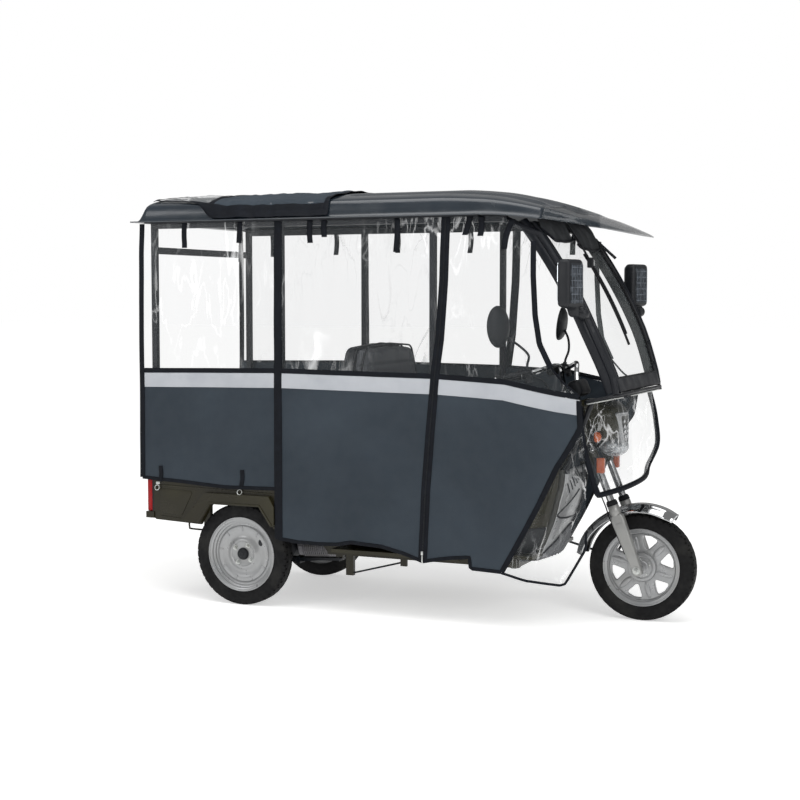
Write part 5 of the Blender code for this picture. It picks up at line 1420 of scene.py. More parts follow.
def screen_point(s, y, out=0.0):
    """A point of the screen, s from 0 at its top to 1 at its foot, out in front of its middle layer."""
    flat = SCREEN_TOP + SCREEN_RUN * s + SCREEN_OUT * (SCREEN_BOW * (1 - (2 * s - 1) ** 2) + out)
    return Vector((along(flat.x), y, flat.y))


def screen_half(s):
    """Half the screen's width at s."""
    return SCREEN_HALF - SCREEN_NARROWING * ease((s - 0.62) / 0.38)


window_start = SCREEN_BAND / SCREEN_RUN.length
window_end = 1 - FOOT_BAND / SCREEN_RUN.length
marks = [0.0, *stations(window_start, window_end, 0.02), 1.0]
bm = bmesh.new()
grid = []
for s in marks:
    half = screen_half(s)
    inner = half - SCREEN_BAND
    across = [-half, *stations(-inner, inner, 0.05), half]
    grid.append([bm.verts.new(screen_point(s, y)) for y in across])
for row, (near, far) in enumerate(zip(grid, grid[1:])):
    for col, (a, b, c, d) in enumerate(zip(near, near[1:], far[1:], far)):
        if row in (0, len(grid) - 2) or col in (0, len(near) - 2):
            bm.faces.new((a, b, c, d))
screen_frame = thicken(put("screen_frame_moulding", bm, black_steel, BODY, 50), 0.018, 0.0)
round_edges = screen_frame.modifiers.new("round_edges", "BEVEL")
round_edges.width, round_edges.segments, round_edges.limit_method = 0.0035, 3, "ANGLE"
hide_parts("windscreen_frame")
rows = []
for s in stations(window_start - 0.006, window_end + 0.006, 0.02):
    half = screen_half(s) - SCREEN_BAND + 0.005
    rows.append([screen_point(s, y) for y in stations(-half, half, 0.05)])
glass = thicken(put("screen_pane", surface(rows), screen_glass, BODY, 60), 0.004, 0.0)
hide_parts("windscreen_glass")
seal_line = [(window_start, -1), (window_start, 1), (window_end, 1), (window_end, -1)]
ring = []
for (s0, y0), (s1, y1) in zip(seal_line, [*seal_line[1:], seal_line[0]]):
    for i in range(20):
        s = s0 + (s1 - s0) * i / 20
        side = y0 + (y1 - y0) * i / 20
        ring.append(screen_point(s, side * (screen_half(s) - SCREEN_BAND), 0.007))
put("screen_seal", tube([*ring, ring[0]], 0.0042, smooth=False), rubber_mat, BODY)


def turn_to(start, run):
    """The turn that lays start along run."""
    return start.rotation_difference(run).to_matrix().to_4x4()


bm = bmesh.new()
arm = [
    screen_point(s, 0.0, out)
    for s, out in ((-0.055, 0.030), (0.02, 0.030), (0.15, 0.026), (0.26, 0.022))
]
for a, b in zip(arm, arm[1:]):
    add_cube(bm, (a + b) / 2, ((b - a).length + 0.004, 0.014, 0.006), turn_to(AHEAD, b - a))
joint = screen_point(0.26, 0.0, 0.020)
box_between(bm, joint - Vector((0.013, 0.011, 0.022)), joint + Vector((0.013, 0.011, 0.022)), 0.004)
put("wiper_arm", bm, black_plastic, BODY)
blade = [screen_point(s, 0.002, 0.015) for s in stations(0.20, 0.76, 0.03)]
put("wiper_blade", tube(blade, 0.0055, smooth=False), rubber_mat, BODY)
spine = [screen_point(s, 0.002, 0.024 - 0.03 * (s - 0.5) ** 2) for s in stations(0.27, 0.70, 0.03)]
put("wiper_spine", tube(spine, 0.0035, smooth=False), black_plastic, BODY)
bm = bmesh.new()
add_stud(bm, screen_point(-0.03, 0.0, 0.0), Vector((0.8, 0, 0.6)), 0.016, 0.030, chamfer=0.002)
box_between(bm, screen_point(-0.01, -0.055, -0.05), screen_point(-0.04, 0.055, -0.01), 0.004)
put("wiper_motor", bm, black_plastic, BODY)

for side, sign in SIDES:
    rows = []
    depth = 0.125 if side == "right" else 0.165
    for i in range(25):
        t = i / 24
        y = sign * (0.016 + 0.352 * t)
        edge = depth * (0.80 + 0.20 * math.sin(math.pi * t) ** 0.5) - 0.05 * ease((t - 0.86) / 0.14)
        line = []
        for j in range(13):
            s = -0.045 + (edge + 0.045) * j / 12
            billow = 0.012 + 0.010 * math.sin(math.pi * j / 12) + 0.008 * noise.noise(
                Vector((y * 14, s * 9, 2))
            )
            line.append(screen_point(s, y, billow))
        rows.append(line)
    rows = rows[::-sign]
    flap = put(f"header_flap_{side}", surface(rows), flap_cloth, BODY, 80)
    edging = [row[-1] for row in rows]
    piping = put(f"header_flap_piping_{side}", tube(edging, 0.0055, smooth=False), binding, BODY)
bm = bmesh.new()
hinge = screen_point(0.105, 0.366, 0.004)
box_between(bm, hinge - Vector((0.030, 0.014, 0.004)), hinge + Vector((0.020, 0.020, 0.010)), 0.003)
lower = screen_point(0.215, 0.392, 0.022)
middle = (lower + hinge) / 2 + Vector((0.012, 0, 0.004))
sizes = ((lower - hinge).length + 0.02, 0.020, 0.012)
add_cube(bm, middle, sizes, turn_to(AHEAD, lower - hinge))
add_stud(bm, hinge + Vector((-0.004, 0, 0.009)), UP, 0.006, 0.005, 6, 0.001)
put("screen_hinge", bm, black_steel, BODY)

for side, sign in SIDES:
    # A moulded cover runs down behind the frame, over the round pillar.
    rows = []
    for s in stations(-0.03, 0.985, 0.03):
        half = screen_half(s)
        section = (
            (0.008, -0.006), (0.026, -0.012), (0.031, -0.022), (0.031, -0.040), (0.026, -0.048),
            (0.004, -0.050),
        )
        rows.append([screen_point(s, sign * (half + y), out) for y, out in section])
    put(f"pillar_cover_{side}", surface(rows[::sign]), black_steel, BODY, 50)

# ---------------------------------------------------------------- shelf under the windscreen
# A black moulded tray with four screws lies under the windscreen's foot. A pale metal strip along its
# edge paints the bright highlight line under the lip. The apron hangs from its front edge.
finish_nodes(black_plastic, "screen_shelf")
SHELF_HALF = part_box("screen_shelf")[1].y
SHELF_TILT = math.radians(12)


def shelf_edge(x, y, down):
    """A point by the shelf's edge, down from its top."""
    return Vector((along(x), y, 0.989 - (1.728 - x) * math.tan(SHELF_TILT) - down))


edge = [
    (1.575, -1.0), (1.640, -1.0), (1.686, -0.985), (1.708, -0.90), (1.722, -0.72), (1.7295, -0.40),
    (1.7300, 0.0),
]
edge = edge + [(x, -y) for x, y in reversed(edge[:-1])]
# Painted highlight: the pale zinc strip under the black lip gives the bright highlight line along the
# edge.
for name, down, radius, finish in (
    ("shelf_edge_highlight_strip", 0.0155, 0.0028, zinc), ("shelf_lip", 0.004, 0.0060, black_plastic),
):
    line = [shelf_edge(x, y * SHELF_HALF, down) for x, y in edge]
    put(name, tube(line, radius), finish, BODY)
bm = bmesh.new()
for y in (-0.24, -0.08, 0.08, 0.24):
    add_stud(bm, shelf_edge(1.690, y, 0.0), Vector((-0.2, 0, 0.98)), 0.006, 0.003, 12, 0.001)
put("shelf_screws", bm, zinc, BODY)

# ---------------------------------------------------------------- windscreen mirrors
# Each head is a moulded black shell with a ribbed back and a glass that faces the rider. Its neck
# ends in a ball joint clamped to the front pillar.
ribbed_plastic = new_finish(
    "ribbed_plastic", "#171b20", 0.50, shine=0.35, stain=(30, 0.5, 0.7, 0.6, "#6a7078"),
    relief=(90, 0.0008),
)
pale_ribs = new_finish("pale_ribs", "#5a616a", 0.35, stain=(60, 0.44, 0.58, 0.85, "#343a41"))
mirror_glass = new_finish("mirror_glass", "#cfd4d8", 0.03, metallic=1.0)
mirror_at = screen_point(0.565, 0.0)
PILLAR_SIDE = SCREEN_HALF + 2 * 0.0145 + 0.0008  # the outer side of the round pillar, from the middle
for side, sign in SIDES:
    head = Vector(
        (
            mirror_at.x - (0.036 if sign < 0 else 0.026), sign * (PILLAR_SIDE + 0.075),
            mirror_at.z + 0.121,
        )
    )
    turn = Matrix.Translation(head) @ Matrix.Rotation(math.radians(-12 if sign < 0 else -16), 4, "Z")
    outline = [(0.0635, 0.098), (-0.052, 0.098), (-0.0635, 0.080), (-0.0700, -0.085)]
    outline += [(-0.0640, -0.132), (-0.0280, -0.132), (-0.0100, -0.100), (0.0635, -0.090)]
    bm = plate([rounded([(sign * y, z) for y, z in outline], 0.020, 5)], 0.056, 0.017, 4)
    bm.transform(turn @ FACING)
    shell_piece = put(f"screen_mirror_shell_{side}", bm, black_plastic, BODY, 50)
    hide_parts(f"screen_mirror_{side}")
    panel = rounded([(0.050, 0.082), (-0.050, 0.082), (-0.050, -0.078), (0.050, -0.078)], 0.012)
    bm = plate([panel], 0.003, 0.001)
    bm.transform(turn @ Matrix.Translation((0.0283, 0, 0)) @ FACING)
    put(f"screen_mirror_back_{side}", bm, ribbed_plastic, BODY)
    bm = bmesh.new()
    for i in range(6):
        z = 0.066 - i * 0.0265
        add_cube(bm, Vector((0.0300, 0, z)), (0.0035, 0.092, 0.0030))
    for i in range(7):
        add_cube(bm, Vector((0.0298, -0.039 + i * 0.013, 0.0)), (0.0028, 0.0024, 0.150))
    bm.transform(turn)
    put(f"screen_mirror_ribs_{side}", bm, pale_ribs, BODY)
    bm = plate(
        [rounded([(0.054, 0.088), (-0.054, 0.088), (-0.054, -0.080), (0.054, -0.080)], 0.018)], 0.002,
        0.0,
    )
    bm.transform(turn @ Matrix.Translation((-0.0285, 0, 0)) @ FACING)
    put(f"screen_mirror_glass_{side}", bm, mirror_glass, BODY)
    bm = bmesh.new()
    ball = Vector((mirror_at.x + 0.004, sign * (PILLAR_SIDE + 0.030), mirror_at.z + 0.004))
    add_ball(bm, ball, (0.024, 0.024, 0.024), 24, 12)
    clamp = sorted((sign * (PILLAR_SIDE - 0.002), sign * (PILLAR_SIDE + 0.028)))
    box_between(
        bm, (ball.x - 0.016, clamp[0], ball.z - 0.018), (ball.x + 0.018, clamp[1], ball.z + 0.016),
        0.006,
    )
    add_stud(bm, ball + Vector((0.010, 0, 0)), AHEAD, 0.008, 0.013, chamfer=0.002)
    neck = [
        ball, ball + Vector((-0.006, sign * 0.010, 0.016)),
        Vector((head.x, sign * (PILLAR_SIDE + 0.030), head.z - 0.108)),
    ]
    add_bm(bm, tube(neck, 0.0155))
    put(f"screen_mirror_joint_{side}", bm, black_plastic, BODY)

# ---------------------------------------------------------------- apron over the headlamp
# A sheet of clear film hangs from the shelf's front edge round the lamp housing, bound in black along
# its sides and foot.
# Rows of the apron from the shelf down, each from its right edge over to its left one.
APRON_NET = (
    (
        (1.538, -0.335, 0.930), (1.650, -0.205, 0.954), (1.704, -0.020, 0.965), (1.708, 0.165, 0.966),
        (1.664, 0.312, 0.958),
    ),
    (
        (1.546, -0.341, 0.823), (1.648, -0.235, 0.832), (1.715, -0.030, 0.842), (1.716, 0.170, 0.846),
        (1.692, 0.316, 0.842),
    ),
    (
        (1.575, -0.341, 0.693), (1.642, -0.215, 0.702), (1.699, -0.010, 0.714), (1.708, 0.170, 0.722),
        (1.700, 0.314, 0.724),
    ),
    (
        (1.616, -0.335, 0.560), (1.674, -0.180, 0.574), (1.705, -0.010, 0.590), (1.692, 0.155, 0.600),
        (1.656, 0.300, 0.620),
    ),
)


def bend(points, t):
    """The point at t, from 0 to 1, on the Catmull-Rom curve through evenly spaced points."""
    place = max(0.0, min(1.0, t)) * (len(points) - 1)
    i = min(int(place), len(points) - 2)
    f = place - i
    a, b, c, d = points[max(i - 1, 0)], points[i], points[i + 1], points[min(i + 2, len(points) - 1)]
    return 0.5 * (
        2 * b + (c - a) * f + (2 * a - 5 * b + 4 * c - d) * f * f + (3 * b - a - 3 * c + d) * f**3
    )


def apron_point(u, v):
    """u runs down from the shelf and v from the left edge at -1 to the right one at 1."""
    across = [bend([Vector(p) for p in row], (1 - v) / 2) for row in APRON_NET]
    point = bend(across, u)
    wave = noise.noise(Vector((v * 2.6, u * 2.0, 11.0)))
    wave += 0.5 * noise.noise(Vector((v * 6.0, u * 3.5, 2.0)))
    out = 0.008 * wave * ease(u / 0.25) * ease((1 - u) / 0.2)
    side = 0.75 * v * abs(v)
    return Vector((along(point.x) + out * (1 - abs(side)), point.y - out * side, point.z))


rows = [[apron_point(u, v) for v in stations(-1.0, 1.0, 0.025)] for u in stations(0.0, 1.0, 0.025)]
apron = put("apron_film", surface(rows), apron_film, BODY, 80)
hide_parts("front_apron")
border = [(u, 0.985) for u in stations(0.0, 0.93, 0.03)]
border += [(0.955, 0.975), (0.972, 0.955)]
border += [(0.975, -v) for v in stations(-0.93, 0.60, 0.03)]
border += [(0.970, -0.70), (0.945, -0.80), (0.900, -0.89), (0.840, -0.95), (0.780, -0.98)]
border += [(0.74 - u, -0.985) for u in stations(0.0, 0.74, 0.03)]
line = [apron_point(u, v) for u, v in border]
apron_tape = put("apron_binding", tube(line, 0.0115, smooth=False), binding, BODY, 80)

# ---------------------------------------------------------------- leg shield
# A narrow silver shield faces ahead, with louvre slots and moulded grooves drawn as raised black lines
# that paint the shade in them, and olive side panels run back from it. A dark trim covers each joint,
# and a ribbed grey cowl closes the shield's foot.
SHIELD_LEVELS = (  # height, then the middle, the side edge and the side panel's end, from the rear axle
    (0.2505, 1.330, 1.306, 1.180),
    (0.310, 1.368, 1.336, 1.190),
    (0.370, 1.388, 1.361, 1.210),
    (0.430, 1.418, 1.384, 1.245),
    (0.510, 1.450, 1.404, 1.300),
    (0.580, 1.455, 1.422, 1.350),
    (0.645, 1.436, 1.428, 1.386),
)
SHIELD_HALF = 0.170


lines = []
for z, middle, edge, end in SHIELD_LEVELS:
    back = middle - edge
    lines.append(
        smooth_path(
            [
                (middle, 0.0), (middle - 0.16 * back, 0.050), (middle - 0.42 * back, 0.100),
                (middle - 0.76 * back, 0.142), (edge, SHIELD_HALF), (edge - 0.040, SHIELD_HALF + 0.026),
                (edge * 0.5 + end * 0.5, SHIELD_HALF + 0.075), (end, 0.300),
            ],
            5,
        )
    )
columns = []
for across in zip(*lines):
    column = [Vector((p.x, p.y, level[0])) for p, level in zip(across, SHIELD_LEVELS)]
    columns.append(smooth_path(column, 4))
trim_plastic = new_finish("trim_plastic", "#24241f", 0.40, shine=0.4)
cowl_plastic = new_finish("cowl_plastic", "#5c5d60", 0.50)
edge_column, kick = 20, 10
for name, first, last, foot, head, finish, slot in (
    ("shield_front", 0, edge_column, 0, None, silver_paint, "silver_paint"),
    ("shield_side", edge_column, len(columns) - 1, kick, None, olive_paint, "olive_paint"),
    ("shield_kick", edge_column, len(columns) - 1, 0, kick + 1, black_plastic, "black_plastic"),
):
    for side, sign in SIDES:
        picked = [column[foot:head] for column in columns[first : last + 1]]
        rows = [[Vector((along(p.x), sign * p.y, p.z)) for p in column] for column in picked]
        wall = thicken(put(f"{name}_{side}", surface(rows[::sign]), finish, BODY, 60), 0.005)
        if name == "shield_front" and side == "right":
            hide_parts("front_fairing")


def on_shield(y, z, lift=0.0):
    """The point of the shield's front at y and z."""
    wide = min(abs(y), SHIELD_HALF)
    across = next(i for i in range(edge_column) if columns[i + 1][0].y >= wide - 1e-9)
    near, far = columns[across], columns[across + 1]
    share = (wide - near[0].y) / (far[0].y - near[0].y)
    level = next((i for i in range(len(near) - 1) if near[i + 1].z >= z), len(near) - 2)
    rise = (z - near[level].z) / (near[level + 1].z - near[level].z)
    near_x = near[level].lerp(near[level + 1], rise).x
    far_x = far[level].lerp(far[level + 1], rise).x
    return Vector((along(near_x * (1 - share) + far_x * share) + lift, y, z))


def shield_line(bm, points, radius, sign):
    """A raised line on the shield's front along (y, z) points; the black ones paint the shade in its
    slots and grooves.
    """
    add_bm(bm, tube([on_shield(sign * p[0], p[1], 0.0004) for p in points], radius, smooth=False))


for side, sign in SIDES:
    bm = bmesh.new()
    # Painted shade: the louvre slots and the moulded grooves are not cut, and raised black lines stand
    # in for the shade inside them.
    for i in range(6):
        foot_y, foot_z = 0.122 - i * 0.0195, 0.545 + i * 0.0120
        slant = [
            (foot_y + 0.018 * t + 0.006 * t * t, foot_z + 0.040 * t)
            for t in stations(0.0, 1.0, 0.125)
        ]
        shield_line(bm, slant, 0.0032, sign)
    for groove, radius in (
        (((0.168, 0.453), (0.130, 0.480), (0.088, 0.515), (0.042, 0.553)), 0.0030),
        (((0.168, 0.449), (0.138, 0.437), (0.080, 0.431), (0.008, 0.433)), 0.0045),
        (((0.004, 0.398), (0.060, 0.360), (0.120, 0.315), (0.166, 0.280)), 0.0045),
    ):
        shield_line(bm, smooth_path(groove, 5), radius, sign)
    put(f"shield_slot_and_groove_shade_{side}", bm, black_plastic, BODY)
    rows = []
    for p, q in zip(columns[edge_column], columns[edge_column + 3]):
        run = (q - p).to_2d().normalized() * 0.026
        profile = ((-0.03, -0.002), (0.06, 0.0016), (0.5, 0.0030), (0.94, 0.0016), (1.03, -0.002))
        out = Vector((run.y, -run.x)).normalized()
        cells = [
            Vector((p.x + run.x * t + out.x * rise, p.y + run.y * t + out.y * rise))
            for t, rise in profile
        ]
        rows.append([Vector((along(c.x), sign * c.y, p.z)) for c in cells])
    put(f"shield_joint_trim_{side}", surface(rows[::-sign]), trim_plastic, BODY, 60)
ridge = [on_shield(0.0, z) for z in stations(0.405, 0.620, 0.012)]
ridge = [p + Vector((0.002 + 0.004 * noise.noise(p * 60), 0, 0)) for p in ridge]
put("shield_ridge", tube(ridge, 0.0075, smooth=False), black_plastic, BODY, 60)
rows = []
for y in stations(-0.166, 0.166, 0.0166):
    top = 0.396 - 0.70 * abs(y)
    heights = [0.254 + (top - 0.254) * share for share in (0.0, 0.03, 0.35, 0.7, 0.97, 1.0)]
    rows.append(
        [on_shield(y, z, rise) for z, rise in zip(heights, (0.0, 0.006, 0.009, 0.009, 0.006, 0.0))]
    )
bm = surface(rows)
for i in range(-4, 5):
    y = i * 0.034
    top = 0.386 - 0.70 * abs(y)
    rib = [on_shield(y, z, 0.008) for z in stations(0.258, top, 0.012)]
    add_bm(bm, tube(rib, 0.0050, smooth=False))
put("shield_cowl", bm, cowl_plastic, BODY, 50)

# ---------------------------------------------------------------- fork
# A chromed telescopic fork in cast sliders with rubber dust seals. Olive sleeves cover its upper tubes,
# and each slider has a flat, plain face.
finish_nodes(chrome, "fork", "handlebar")
finish_nodes(rubber_mat, "front_brake_cable")
slider_metal = new_finish(
    "slider_metal", "#91918f", 0.36, metallic=0.5, worn=(30, 0.32, 0.50),
    stain=(12, 0.5, 0.8, 0.5, "#7b7b7a"), relief=(600, 0.0002),
)
STEER = "steering"
RAKE = math.radians(22)
steer = Matrix.Translation(hub) @ Matrix.Rotation(-RAKE, 4, "Y") @ Matrix.Translation((-0.045, 0, 0))
STEER_UP = steer.to_3x3() @ UP
slider_line = rounded(
    [
        (-0.022, 0.250), (-0.029, 0.228), (-0.021, 0.050), (-0.019, -0.024), (0.019, -0.024),
        (0.023, 0.050), (0.029, 0.228), (0.022, 0.250),
    ],
    0.012, 6,
)
face_line = rounded([(-0.017, 0.212), (-0.0135, 0.052), (0.0145, 0.052), (0.0175, 0.212)], 0.006)


def on_leg(bm, leg, profile):
    """Adds a ring round the leg's tube, given as (radius, height) up from the axle."""
    add_bm(bm, turned(profile, Vector(), 40), leg @ ON_EDGE)


for side, sign in SIDES:
    leg = steer @ Matrix.Translation((0.045, sign * 0.095, 0))
    bm = bmesh.new()
    add_bm(bm, plate([slider_line], 0.036, 0.008, 4), leg @ ON_EDGE)
    collar = [
        (0.0165, 0.290), (0.0205, 0.290), (0.0238, 0.286), (0.0238, 0.258), (0.0222, 0.250),
        (0.0165, 0.240),
    ]
    on_leg(bm, leg, collar)
    slider = put(f"slider_casting_{side}", bm, slider_metal, STEER, 45)
    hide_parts(f"fork_slider_{side}")
    bm = plate([face_line], 0.0022, 0.0009)
    bm.transform(leg @ Matrix.Translation((0, sign * 0.0178, 0)) @ ON_EDGE)
    put(f"slider_face_{side}", bm, slider_metal, STEER)
    bm = bmesh.new()
    seal = [
        (0.0160, 0.289), (0.0245, 0.289), (0.0252, 0.293), (0.0235, 0.297), (0.0245, 0.301),
        (0.0228, 0.305), (0.0200, 0.311), (0.0160, 0.312),
    ]
    on_leg(bm, leg, seal)
    put(f"dust_seal_{side}", bm, rubber_mat, STEER)
    bm = bmesh.new()
    sleeve = [
        (0.0160, 0.470), (0.0195, 0.470), (0.0205, 0.476), (0.0205, 0.528), (0.0195, 0.534),
        (0.0160, 0.534),
    ]
    on_leg(bm, leg, sleeve)
    sleeve = [(0.0160, 0.565), (0.0205, 0.565), (0.0205, 0.712), (0.0160, 0.712)]
    on_leg(bm, leg, sleeve)
    put(f"fork_sleeves_{side}", bm, olive_paint, STEER)
    bm = bmesh.new()
    axle_end = hub + Vector((0, sign * 0.1133, 0))
    out = Vector((0, sign, 0))
    add_stud(bm, axle_end, out, 0.0165, 0.0025, chamfer=0.0006)
    add_stud(bm, axle_end + out * 0.0025, out, 0.0118, 0.0100, 6, 0.0014)
    add_stud(bm, axle_end + out * 0.0125, out, 0.0065, 0.0050, 20, 0.0018)
    crown = leg @ Vector((0, 0, 0.748))
    add_stud(bm, crown, STEER_UP, 0.0125, 0.009, 6, 0.0012)
    put(f"fork_nuts_{side}", bm, zinc, STEER)

# ---------------------------------------------------------------- front fender
# A pressed steel fender, chromed, with rolled edges. Two stays bolt it to the fork's sliders, and it
# turns with them.
def fender_point(u, v):
    """A point of the fender, u from 0 at its front to 1 at its rear and v from -1 to 1 across it."""
    angle = math.radians(57 + 114 * u) - RAKE
    radius = 0.270 + 0.018 * ease((u - 0.5) / 0.5) - 0.030 * abs(v) ** 2.6
    radius += 0.0035 * math.exp(-(((abs(v) - 0.42) / 0.10) ** 2))
    half = 0.060 - 0.020 * ease((0.10 - u) / 0.10) - 0.008 * ease((u - 0.94) / 0.06)
    return steer @ Vector((0.045 + radius * math.cos(angle), v * half, radius * math.sin(angle)))


rows = [[fender_point(u, v) for v in stations(-1.0, 1.0, 0.05)] for u in stations(0.0, 1.0, 0.01)]
fender = thicken(put("fender_sheet", surface(rows), chrome, STEER, 60), 0.0022, 0.0)
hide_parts("front_fender")
bm = bmesh.new()
edges = [[fender_point(u, v) for u in stations(0.0, 1.0, 0.02)] for v in (-1, 1)]
edges += [[fender_point(u, v) for v in stations(-1.0, 1.0, 0.1)] for u in (0.0, 1.0)]
for edge in edges:
    add_bm(bm, tube(edge, 0.0030, smooth=False))
for sign in (-1, 1):
    stay = [(0.045, sign * 0.0765, 0.226), (0.045, sign * 0.062, 0.232), (0.045, sign * 0.052, 0.246)]
    add_bm(bm, tube([steer @ Vector(p) for p in stay], 0.0050))
    add_stud(
        bm, steer @ Vector((0.045, sign * 0.0770, 0.226)), Vector((0, -sign, 0)), 0.0085, 0.006, 6,
        0.001,
    )
put("fender_edges", bm, chrome, STEER)

# ---------------------------------------------------------------- handlebar
# Ribbed rubber grips, cast levers and black switch housings sit on the chromed bar. Each mirror is a
# domed plastic shell on a bent stem.
BAR_SEAT = 0.760
grip_rubber = new_finish(
    "grip_rubber", "#141517", 0.70, shine=0.2, stain=(30, 0.5, 0.75, 0.6, "#2c2d30"),
    relief=(260, 0.0004),
)
MIRRORS = {
    "right": (
        ((0.014, 0.003, 0.026), (0.034, 0.008, 0.058), (0.016, 0.018, 0.105), (-0.018, 0.030, 0.158)),
        (-0.024, 0.066, 0.209), (8, 4, -31),
    ),
    "left": (
        ((0.014, 0.003, 0.026), (0.042, 0.008, 0.060), (0.052, 0.030, 0.110), (0.046, 0.044, 0.158)),
        (0.043, 0.050, 0.185), (40, 12, 6),
    ),
}
for side, sign in SIDES:
    bar_in = Vector((-0.004, sign * 0.2256, BAR_SEAT + 0.160))
    bar_out = Vector((-0.157, sign * 0.370, BAR_SEAT + 0.188))
    run = bar_out - bar_in

    def on_bar(t, ahead=0.0, up=0.0):
        """A point beside the bar, t from 0 at the clamp's end of its grip part to 1 at its tip."""
        return steer @ (bar_in + run * t + Vector((ahead, 0, up)))

    along_bar = (steer.to_3x3() @ run).normalized()
    grip = [(0.0, 0.0), (0.0200, 0.0), (0.0205, 0.003), (0.0190, 0.005)]
    for i in range(14):
        z = 0.008 + i * 0.0065
        grip += [(0.0160, z), (0.0172, z + 0.0015), (0.0172, z + 0.0035), (0.0160, z + 0.0050)]
    grip += [(0.0170, 0.102), (0.0195, 0.104), (0.0195, 0.107), (0.0, 0.110)]
    bm = turned(grip, Vector(), 32, closed=False)
    bm.transform(Matrix.Translation(on_bar(0.455)) @ turn_to(LEFT, along_bar))
    put(f"grip_{side}", bm, grip_rubber, STEER)
    bm = bmesh.new()
    box_between(bm, (-0.019, -0.021, -0.021), (0.021, 0.021, 0.021), 0.009)
    box_between(bm, (0.010, -0.016, -0.034), (0.026, 0.016, -0.012), 0.005)
    bm.transform(Matrix.Translation(on_bar(0.33, 0.004, -0.002)) @ turn_to(sign * LEFT, along_bar))
    add_stud(bm, on_bar(0.385, 0, 0.010), STEER_UP, 0.0105, 0.016, chamfer=0.002)
    put(f"switch_housing_{side}", bm, black_plastic, STEER)
    bm = bmesh.new()
    add_stud(
        bm, on_bar(0.33, -0.014, -0.004), steer.to_3x3() @ Vector((-1, 0, 0.1)), 0.0055, 0.006, 20,
        0.001,
    )
    put(f"switch_button_{side}", bm, red_lens, STEER)
    bm = bmesh.new()
    lever = ((0.34, 0.022, 0.0), (0.45, 0.046, -0.002), (0.70, 0.052, -0.003), (1.00, 0.040, -0.004))
    lever = [on_bar(*at) for at in lever]
    add_bm(bm, tube(lever, 0.0052))
    add_ball(bm, lever[-1], (0.0080, 0.0080, 0.0080), 20, 12)
    put(f"lever_{side}", bm, black_plastic, STEER)
    stem_line, head_at, (roll, lean, yaw) = MIRRORS[side]
    foot = Vector((-0.046, sign * 0.265, BAR_SEAT + 0.168 + 0.0124))
    outward = Vector((1, sign, 1))
    line = [steer @ foot, *(steer @ (foot + Vector(p) * outward) for p in stem_line)]
    bm = bmesh.new()
    add_bm(bm, tube(line, 0.0052, 5))
    stem = (line[1] - line[0]).normalized()
    add_stud(bm, line[0] - stem * 0.002, stem, 0.0092, 0.020, 6, 0.001)
    head = steer @ Matrix.Translation(foot + Vector(head_at) * outward) @ Matrix.Rotation(RAKE, 4, "Y")
    for angle, axis in ((yaw, "Z"), (lean, "Y"), (roll, "X"), (90, "Y")):
        head = head @ Matrix.Rotation(math.radians(angle), 4, axis)
    head = head @ Matrix.Diagonal((1.53, 1.0, 1.0, 1.0)) @ ON_EDGE
    dome = [
        (0.0, 0.0225), (0.016, 0.0218), (0.031, 0.0192), (0.044, 0.0140), (0.0525, 0.0065),
        (0.0568, -0.001), (0.0580, -0.007), (0.0568, -0.0108), (0.0530, -0.0122), (0.0515, -0.0105),
        (0.0, -0.0105),
    ]
    add_bm(bm, turned(dome, Vector(), 56, closed=False), head)
    mirror = put(f"bar_mirror_shell_{side}", bm, black_plastic, STEER, 40)
    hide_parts(f"bar_mirror_{side}")
    bm = turned(
        [(0.0, -0.0118), (0.0512, -0.0118), (0.0512, -0.0108), (0.0, -0.0108)], Vector(), 56,
        closed=False,
    )
    bm.transform(head)
    put(f"bar_mirror_glass_{side}", bm, mirror_glass, STEER)

# A plain instrument pod on the bar's clamp.
for name, near, far, half, foot, top, bevel, finish in (
    ("instrument_pod", 0.030, 0.090, 0.075, 0.012, 0.085, 0.020, black_plastic),
    ("instrument_window", 0.0275, 0.0310, 0.055, 0.026, 0.072, 0.0012, visor_plastic),
):
    bm = bmesh.new()
    box_between(bm, (near, -half, BAR_SEAT + foot), (far, half, BAR_SEAT + top), bevel)
    bm.transform(steer)
    put(name, bm, finish, STEER)
bm = bmesh.new()
for y in (-0.018, 0.018):
    for x in (-0.004, 0.024):
        add_stud(bm, steer @ Vector((x, y, BAR_SEAT + 0.010)), STEER_UP, 0.0058, 0.007, 6, 0.001)
put("bar_clamp_screws", bm, zinc, STEER)

# ---------------------------------------------------------------- headlamp and signals
# An olive housing carries a dark lamp in a silver frame that narrows to its foot, over a clear bulging
# lens. Amber lamps stand beside it and lower on the fork tubes.
lamp_glass = new_finish("lamp_glass", "#17191c", 0.06, coat=0.8, stain=(25, 0.45, 0.7, 0.6, "#2e3338"))
clear_lens = new_finish(
    "clear_lens", "#aeb4b8", 0.08, coat=0.5, alpha=0.55, stain=(40, 0.4, 0.65, 0.8, "#3b3f44"),
)
raise_by(clear_lens, grain(clear_lens, 55, detail=1.0), 0.004)
amber_lens = new_finish("amber_lens", "#a8481a", 0.20, coat=0.3, stain=(30, 0.45, 0.75, 0.6, "#c0662b"))
bump_waves(amber_lens, 0.004, 0.0008, "Z")


def loft(rings):
    """A closed skin over rings of points, with flat ends."""
    bm = bmesh.new()
    made = [[bm.verts.new(p) for p in ring] for ring in rings]
    for near, far in zip(made, made[1:]):
        for i in range(len(near)):
            j = (i + 1) % len(near)
            bm.faces.new((near[i], near[j], far[j], far[i]))
    bm.faces.new(made[0][::-1])
    bm.faces.new(made[-1])
    bmesh.ops.recalc_face_normals(bm, faces=bm.faces)
    return bm


